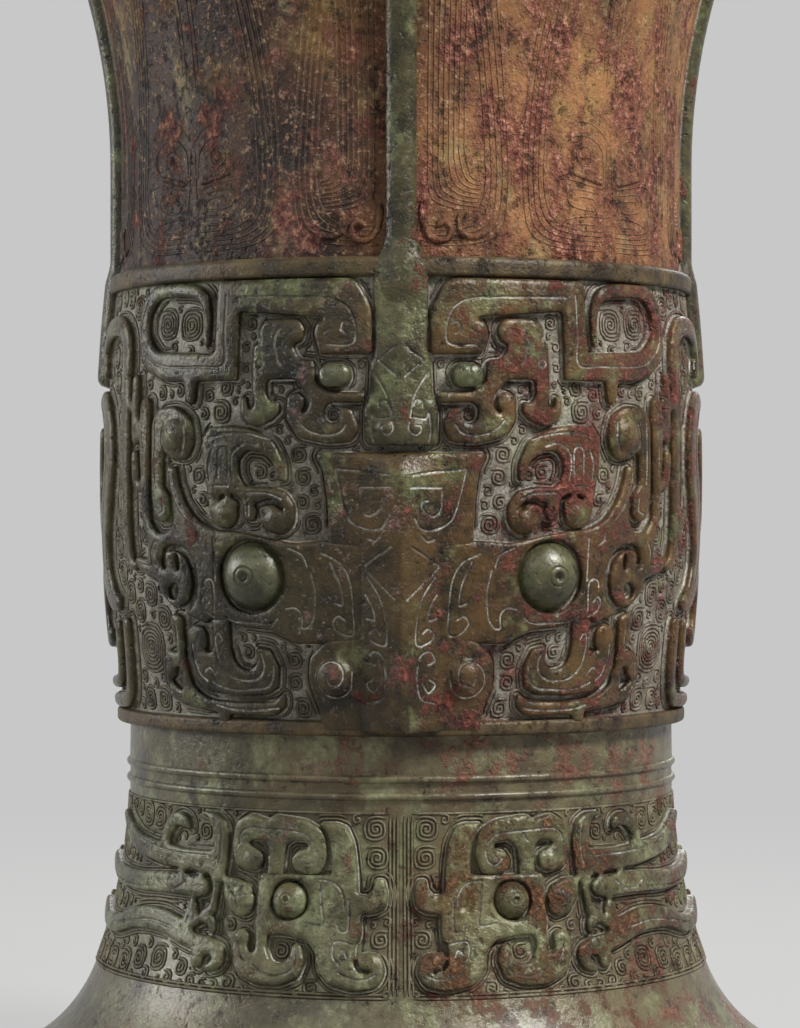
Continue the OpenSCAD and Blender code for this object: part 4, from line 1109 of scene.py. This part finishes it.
def softOutline(points):
    return plateOutline([p if len(p) == 3 else (*p, turning["corner"]) for p in points])


neckWall = neckForm["wall"]
neckSweep = neckForm["sweep"]
sweepC = (throatR + neckSweep, throatTop)
lipAngle = np.arcsin((lipZ - throatTop) / neckSweep)
innerLipAngle = np.arcsin((lipZ - throatTop) / (neckSweep + neckWall))
neckOutside = arcPoints(sweepC, neckSweep, pi, pi - lipAngle, 44)
neckInside = arcPoints(sweepC, neckSweep + neckWall, pi - innerLipAngle, pi, 44)
throat = [(throatR, z) for z in np.linspace(drumTop + 2, throatTop, 8)[:-1]]
outerLip = softCorner(neckOutside[-1], neckOutside[-2], neckInside[0], turning["lipRound"])
innerLip = softCorner(neckInside[0], neckOutside[-1], neckInside[1], turning["lipRound"])
neckOutline = [
    (throatR, drumTop), *throat, *neckOutside[:-1], *outerLip, *innerLip, *neckInside[1:],
    (throatR - neckWall, neckLow.z), (throatR - neckWall / 2, neckLow.z), (throatR - neckWall / 2, drumTop),
]
spinSection("trumpet_neck_cast", neckOutline, neckBronze, "trumpet_neck", 30)


def onDrum(z):
    return float(drumRadius(z)), z


def drumRise(r, z):
    ground = drumRadius(z)
    return np.where(r > ground - 1, np.maximum(r - ground, 0), turning["bare"])


tongueR = (throatR + throatR - neckWall) / 2 + turning["lapGap"]
footTongueR = footR - drumForm["wall"] / 2 + turning["lapGap"]
lapZ = drumTop - turning["lap"]
drumWall = [onDrum(z) for z in np.linspace(ringLowZ + 2, ringTopZ - 2, 30)]
drumInside = [(float(drumRadius(z)) - drumForm["wall"], z) for z in np.linspace(lapZ, floorLow.z, 24)]
drumOutline = softOutline([
    (footTongueR, drumZ), (lowRing, drumZ, 0.9), (lowRing, ringLowZ, 1.2), (*onDrum(ringLowZ), 0.6),
    *drumWall, (*onDrum(ringTopZ), 0.6), (topRing, ringTopZ, 1.2), (topRing, drumTop, 1.6),
    (tongueR, drumTop), (tongueR, lapZ), *drumInside, (footTongueR, floorLow.z),
])
spinSection("mask_drum_cast", drumOutline, groundBronze, "mask_drum", riseOf=drumRise)

floorR = floorHigh.x
arris = turning["arris"]
floorOutline = [
    (0, floorLow.z), (floorR - arris, floorLow.z), (floorR, floorLow.z + arris),
    (floorR, floorHigh.z - arris), (floorR - arris, floorHigh.z), (floorR * 0.6, floorHigh.z),
    (0, floorHigh.z),
]
spinSection("vessel_floor_cast", floorOutline, insideBronze, "vessel_floor")


def footSide(inset):
    sweep, flare, roll = footForm["sweep"], footForm["flare"], footForm["roll"]
    sweepAngle = np.arcsin((collarZ - footForm["flareUp"]) / sweep)
    flareAngle = radians(footForm["flareAngle"])
    sweepAt = np.array((footR + sweep, collarZ))
    flareAt = sweepAt - (sweep - flare) * np.array((cos(sweepAngle), sin(sweepAngle)))
    rollAt = flareAt - (flare + roll) * np.array((cos(flareAngle), sin(flareAngle)))
    side = arcPoints(sweepAt, sweep + inset, pi, pi + sweepAngle, 26)
    side += arcPoints(flareAt, flare + inset, pi + sweepAngle, pi + flareAngle, 16)[1:]
    side += arcPoints(rollAt, roll - inset, flareAngle, 0, 10)[1:]
    return side


def bowstring(z):
    bulge = footForm["string"]
    return [(float(footRadius(z + bulge * sin(a))) + bulge * cos(a), z + bulge * sin(a))
            for a in np.linspace(pi / 2.2, -pi / 2.2, 7)]


footWall = footForm["wall"]
upperString, lowerString = [bowstring(collarZ + up) for up in footForm["stringUps"]]
footOutside = [p for p in footSide(0) if p[1] < collarZ - 3]
footInside = footSide(footWall)[::-1]
rimR = footOutside[-1][0]
outerRim = softCorner((rimR, 0), footOutside[-1], (rimR - footWall, 0), turning["rimRound"])
innerRim = softCorner((rimR - footWall, 0), (rimR, 0), footInside[0], turning["rimRound"])
footOutline = [
    (footR - footWall / 2, footHigh.z), (footR - footWall / 2, footTop), (footR, footTop),
    (footR, footTop - 1), *upperString, (footR, collarZ + 1), *lowerString, *footOutside, *outerRim,
    *innerRim, *footInside, (footR - footWall, footHigh.z),
]
spinSection("foot_ring_cast", footOutline, footGround, "foot_ring", 40)
print("cast sections made")

# Ribs up the neck, which run down over the drum's edge: short ones to the noses, long ones at the sides
rib = dict(
    half=3.6, proud=3.4, stop=5, root=-0.8, over=6, flare=8, hollow=2.5, crown=0.75, end=3,
    along=180, across=20,
)
noseFoot = dict(low=192, half=6.3, proud=3.4, end=14)
shoulderFoot = dict(low=180, half=4.6, proud=3.8, end=3)
ribFeet = dict(front=noseFoot, right=shoulderFoot, back=noseFoot, left=shoulderFoot)


def ease(t):
    t = np.clip(t, 0, 1)
    return t * t * (3 - 2 * t)


for i, (quarter, foot) in enumerate(ribFeet.items()):
    bm = bmesh.new()
    bmesh.ops.create_grid(bm, x_segments=rib["across"], y_segments=rib["along"], size=1)
    skirt = bmesh.ops.extrude_edge_only(bm, edges=[e for e in bm.edges if e.is_boundary])["geom"]
    bmesh.ops.translate(bm, verts=vertsOf(skirt), vec=(0, 0, rib["root"]))
    bmesh.ops.holes_fill(bm, edges=[e for e in bm.edges if e.is_boundary])
    bmesh.ops.recalc_face_normals(bm, faces=bm.faces)
    mesh = bpy.data.meshes.new("rib")
    bm.to_mesh(mesh)
    bm.free()
    across, along, root = np.array([v.co for v in mesh.vertices]).T
    top = lipZ - rib["stop"]
    z = foot["low"] + (along + 1) / 2 * (top - foot["low"])
    upNeck = ease((z - drumTop + 2) / rib["over"])
    narrowing = np.clip((z - drumTop + 1) / rib["flare"], 0, 1)
    half = rib["half"] + (foot["half"] - rib["half"]) * (1 - narrowing) ** rib["hollow"]
    proud = foot["proud"] + (rib["proud"] - foot["proud"]) * upNeck
    ends = np.minimum((top - z) / rib["end"], (z - foot["low"]) / foot["end"])
    proud = proud * np.sqrt(1 - (1 - np.clip(ends, 0, 1)) ** 2)
    girth = half * np.sin(across * pi / 2)
    crown = np.cos(across * pi / 2 * 0.999) ** rib["crown"]
    rise = np.where(root < rib["root"] / 2, root, proud * crown)
    lean = np.maximum(z - throatTop, 0) / neckForm["sweep"]
    ground = drumRadius(np.minimum(z, drumTop)) * (1 - upNeck) + neckRadius(z) * upNeck
    radius = ground + rise * np.sqrt(1 - lean ** 2)
    laid = aroundAxis(radius, girth / ground + i * pi / 2, z - rise * lean)
    mesh.vertices.foreach_set("co", laid.ravel())
    keepRise(mesh, rise)
    finishPiece(mesh, f"flange_{quarter}_cast", flangeBronze, [f"flange_{quarter}"], 50)
print("ribs made")

# The neck's drawing: upright blades with nested threads, and a small mask or a pair of hooks low on each
blade = dict(
    count=8, half=21, low=210.6, shoulder=226, tip=347, taper=1.7, lines=5, lineStep=1.15,
    bend=((0.1, 0), (0.55, 0.2), (0.83, 1.8), (0.96, 5.6)),
)
bladeMask = dict(
    eye=(6.8, 232.6), ring=2.3, pupil=1.1, pupilRise=0.6, pupilRoot=-0.3,
    lines=[[(1.5, 227.8), (1.8, 233.4), (4, 236.4), (8, 237.4), (11.4, 235.6), (12.6, 232), (10.8, 229.6)],
           [(0.5, 236.6), (2.6, 238.8), (5.4, 240.4), (9, 240.6)], [(0.6, 234.6), (0.9, 226), (1.4, 220.6)],
           [(1.6, 225.2), (6, 226), (11, 227), (14.6, 226.4)],
           [(3, 224), (9.6, 224.8), (11, 222.6), (9.4, 220.6), (4.6, 220), (3.6, 221.6), (5, 222.8),
            (8.2, 223), (8.6, 221.9)],
           [(1, 218.4), (6, 218.6), (11.6, 217.4), (13, 215.4)], [(4, 216.6), (8.6, 216.6), (9.4, 215.6)]],
    bars=[[(2.2, 226.5), (6, 227.5), (10.4, 228.9)]],
)
bladeHooks = [[(3.8, 220), (4.3, 215), (6.2, 211.9), (8.8, 212.1), (9.5, 214.6), (8, 216), (6.8, 214.9)],
              [(12.6, 218.8), (11.2, 217), (11.3, 214), (13.2, 212.6), (16.4, 213.4)]]
bladeRows = dict(
    low=219.6, lean=1.0, end=15.4, onRib=np.arange(5.2, 13), inset=5.2, rounding=0.58, middle=(1.2, 2.2),
    middleLow=243, middleLean=3,
)
neckThread = dict(width=0.6, rise=0.12)
hookThread = dict(width=1.8, rise=0.8)
barThread = dict(width=1.6, rise=0.3)
perDegree = throatR * pi / 180
bladeClimb = blade["tip"] - blade["shoulder"]


def bladeEdge(z):
    t = np.clip((z - blade["shoulder"]) / bladeClimb, 0, 1)
    return blade["half"] * (1 - t ** blade["taper"])


def bladeLines(onRib):
    lines = []
    for k in range(blade["lines"]):
        inset = k * blade["lineStep"]
        foot, base = blade["half"] - inset, blade["low"] + inset
        heights = np.linspace(blade["shoulder"], blade["tip"] - 4 * inset - 2, 26)
        edge = np.maximum(bladeEdge(heights) - inset, 0.3)
        bend = [(foot * share, base + up) for share, up in blade["bend"]]
        lines.append(bend + list(zip(edge, heights)))
    end = bladeRows["end"]
    for k, a in enumerate(bladeRows["onRib"] if onRib else bladeRows["middle"]):
        inward = 1 - (a + bladeRows["inset"]) / blade["half"]
        top = blade["shoulder"] + bladeClimb * inward ** bladeRows["rounding"]
        if onRib:
            low = bladeRows["low"] + bladeRows["lean"] * k
            bend = [(end, low - 1), ((a + end) / 2, low - 0.5), (a + 0.8, low + 1.6)]
        else:
            low = bladeRows["middleLow"] + bladeRows["middleLean"] * k
            bend = []
        lines.append(bend + [(a, z) for z in np.linspace(low + 6, top, 16)])
    if not onRib:
        u, z = bladeMask["eye"]
        ring = bladeMask["ring"]
        lines += bladeMask["lines"]
        lines.append([(u + ring * cos(t) / perDegree, z + ring * sin(t)) for t in np.linspace(0, 2 * pi, 13)])
    return lines


def inGirth(lines):
    return [smoothLine([(a * perDegree, z) for a, z in line], 3) for line in lines]


for k in range(blade["count"]):
    onRib = k % 2 == 0
    drawn = (inGirth(bladeLines(onRib)), neckThread)
    if onRib:
        bm = layThreads(drawn, (inGirth(bladeHooks), hookThread))
    else:
        bm = layThreads(drawn, (inGirth(bladeMask["bars"]), barThread))
        u, z = bladeMask["eye"]
        spinDome(bm, u * perDegree, z, bladeMask["pupil"], bladeMask["pupilRise"], bladeMask["pupilRoot"])
    bmesh.ops.mirror(bm, geom=bm.verts[:] + bm.edges[:] + bm.faces[:], axis="X", merge_dist=-1)
    bmesh.ops.recalc_face_normals(bm, faces=bm.faces)
    turnTo = k * 2 * pi / blade["count"] * throatR
    bmesh.ops.translate(bm, verts=bm.verts, vec=(turnTo, 0, 0))
    layPiece(bm, f"neck_blade_{k}", ontoNeck, 1, False, neckBronze)
    bm.free()
print("neck blades made")

# Stage, light and camera
stage = dict(
    size=6.0, floor=(198, 196, 193), floorRough=0.8, floorGlow=0.88, farFloor=(0.25, 0.9),
    sky=(200, 200, 200), skyStrength=0.17,
)
bareRays = ("Is Camera Ray", "Is Glossy Ray", "Is Transmission Ray")


def seenBare(tree):
    start = Value(tree)
    camera, glossy, through = [start.node("ShaderNodeLightPath", output=ray) for ray in bareRays]
    return start.maths("MINIMUM", camera + glossy + through, 1.0)


bm = bmesh.new()
bmesh.ops.create_grid(bm, x_segments=2, y_segments=2, size=stage["size"])
floor = meshObject(bm, "studioFloor")
floorPaint = bpy.data.materials.new("studioFloor")
paint = principled(floorPaint)
paint.inputs["Base Color"].default_value = rgba(stage["floor"])
paint.inputs["Roughness"].default_value = stage["floorRough"]
floorTree = floorPaint.node_tree
painted = Value(floorTree, paint.outputs[0])
glow = painted.node("ShaderNodeEmission", inputs={"Color": rgba(stage["sky"])})
place = painted.node("ShaderNodeTexCoord", output="Object")
away = painted.node("ShaderNodeVectorMath", dict(operation="LENGTH"), {0: place}, "Value")
far = away.step(*stage["farFloor"])
bare = seenBare(floorTree) * (stage["floorGlow"] + far * (1 - stage["floorGlow"]))
mixed = painted.node("ShaderNodeMixShader", inputs={0: bare, 1: painted, 2: glow})
floorOut = next(n for n in floorTree.nodes if n.type == "OUTPUT_MATERIAL")
floorTree.links.new(mixed.socket, floorOut.inputs["Surface"])
floor.data.materials.append(floorPaint)

world = bpy.data.worlds.new("studio")
bpy.context.scene.world = world
world.use_nodes = True
sky = next(n for n in world.node_tree.nodes if n.type == "BACKGROUND")
sky.inputs["Color"].default_value = rgba(stage["sky"])
strength = seenBare(world.node_tree) * (1 - stage["skyStrength"]) + stage["skyStrength"]
world.node_tree.links.new(strength.socket, sky.inputs["Strength"])

lamps = dict(
    key=dict(at=(0.85, -0.6, 1.2), size=0.3, watts=46),
    side=dict(at=(-1.15, 0.1, 0.5), size=0.4, watts=11),
    front=dict(at=(-0.6, -1.1, 1.0), size=0.7, watts=5),
    back=dict(at=(0.2, 1.2, 0.9), size=0.8, watts=14),
)
aim = Vector((0, 0, 0.17))
for name, lamp in lamps.items():
    light = bpy.data.lights.new(name, "AREA")
    light.size = lamp["size"]
    light.energy = lamp["watts"]
    holder = bpy.data.objects.new(name, light)
    holder.location = lamp["at"]
    holder.rotation_euler = (aim - Vector(lamp["at"])).to_track_quat("-Z", "Y").to_euler()
    bpy.context.scene.collection.objects.link(holder)

view = dict(away=0.825, height=0.149, aside=-0.00025, imageHigh=1028, metresPerPixel=0.00025, sensor=36)
camera = bpy.data.cameras.new("photoCamera")
camera.sensor_width = view["sensor"]
camera.lens = view["sensor"] * view["away"] / (view["imageHigh"] * view["metresPerPixel"])
camera.clip_start = 0.01
cameraHolder = bpy.data.objects.new("photoCamera", camera)
cameraHolder.location = (view["aside"], -view["away"], view["height"])
cameraHolder.rotation_euler = (pi / 2, 0, 0)
bpy.context.scene.collection.objects.link(cameraHolder)
bpy.context.scene.camera = cameraHolder
bpy.context.scene.view_settings.view_transform = "Standard"

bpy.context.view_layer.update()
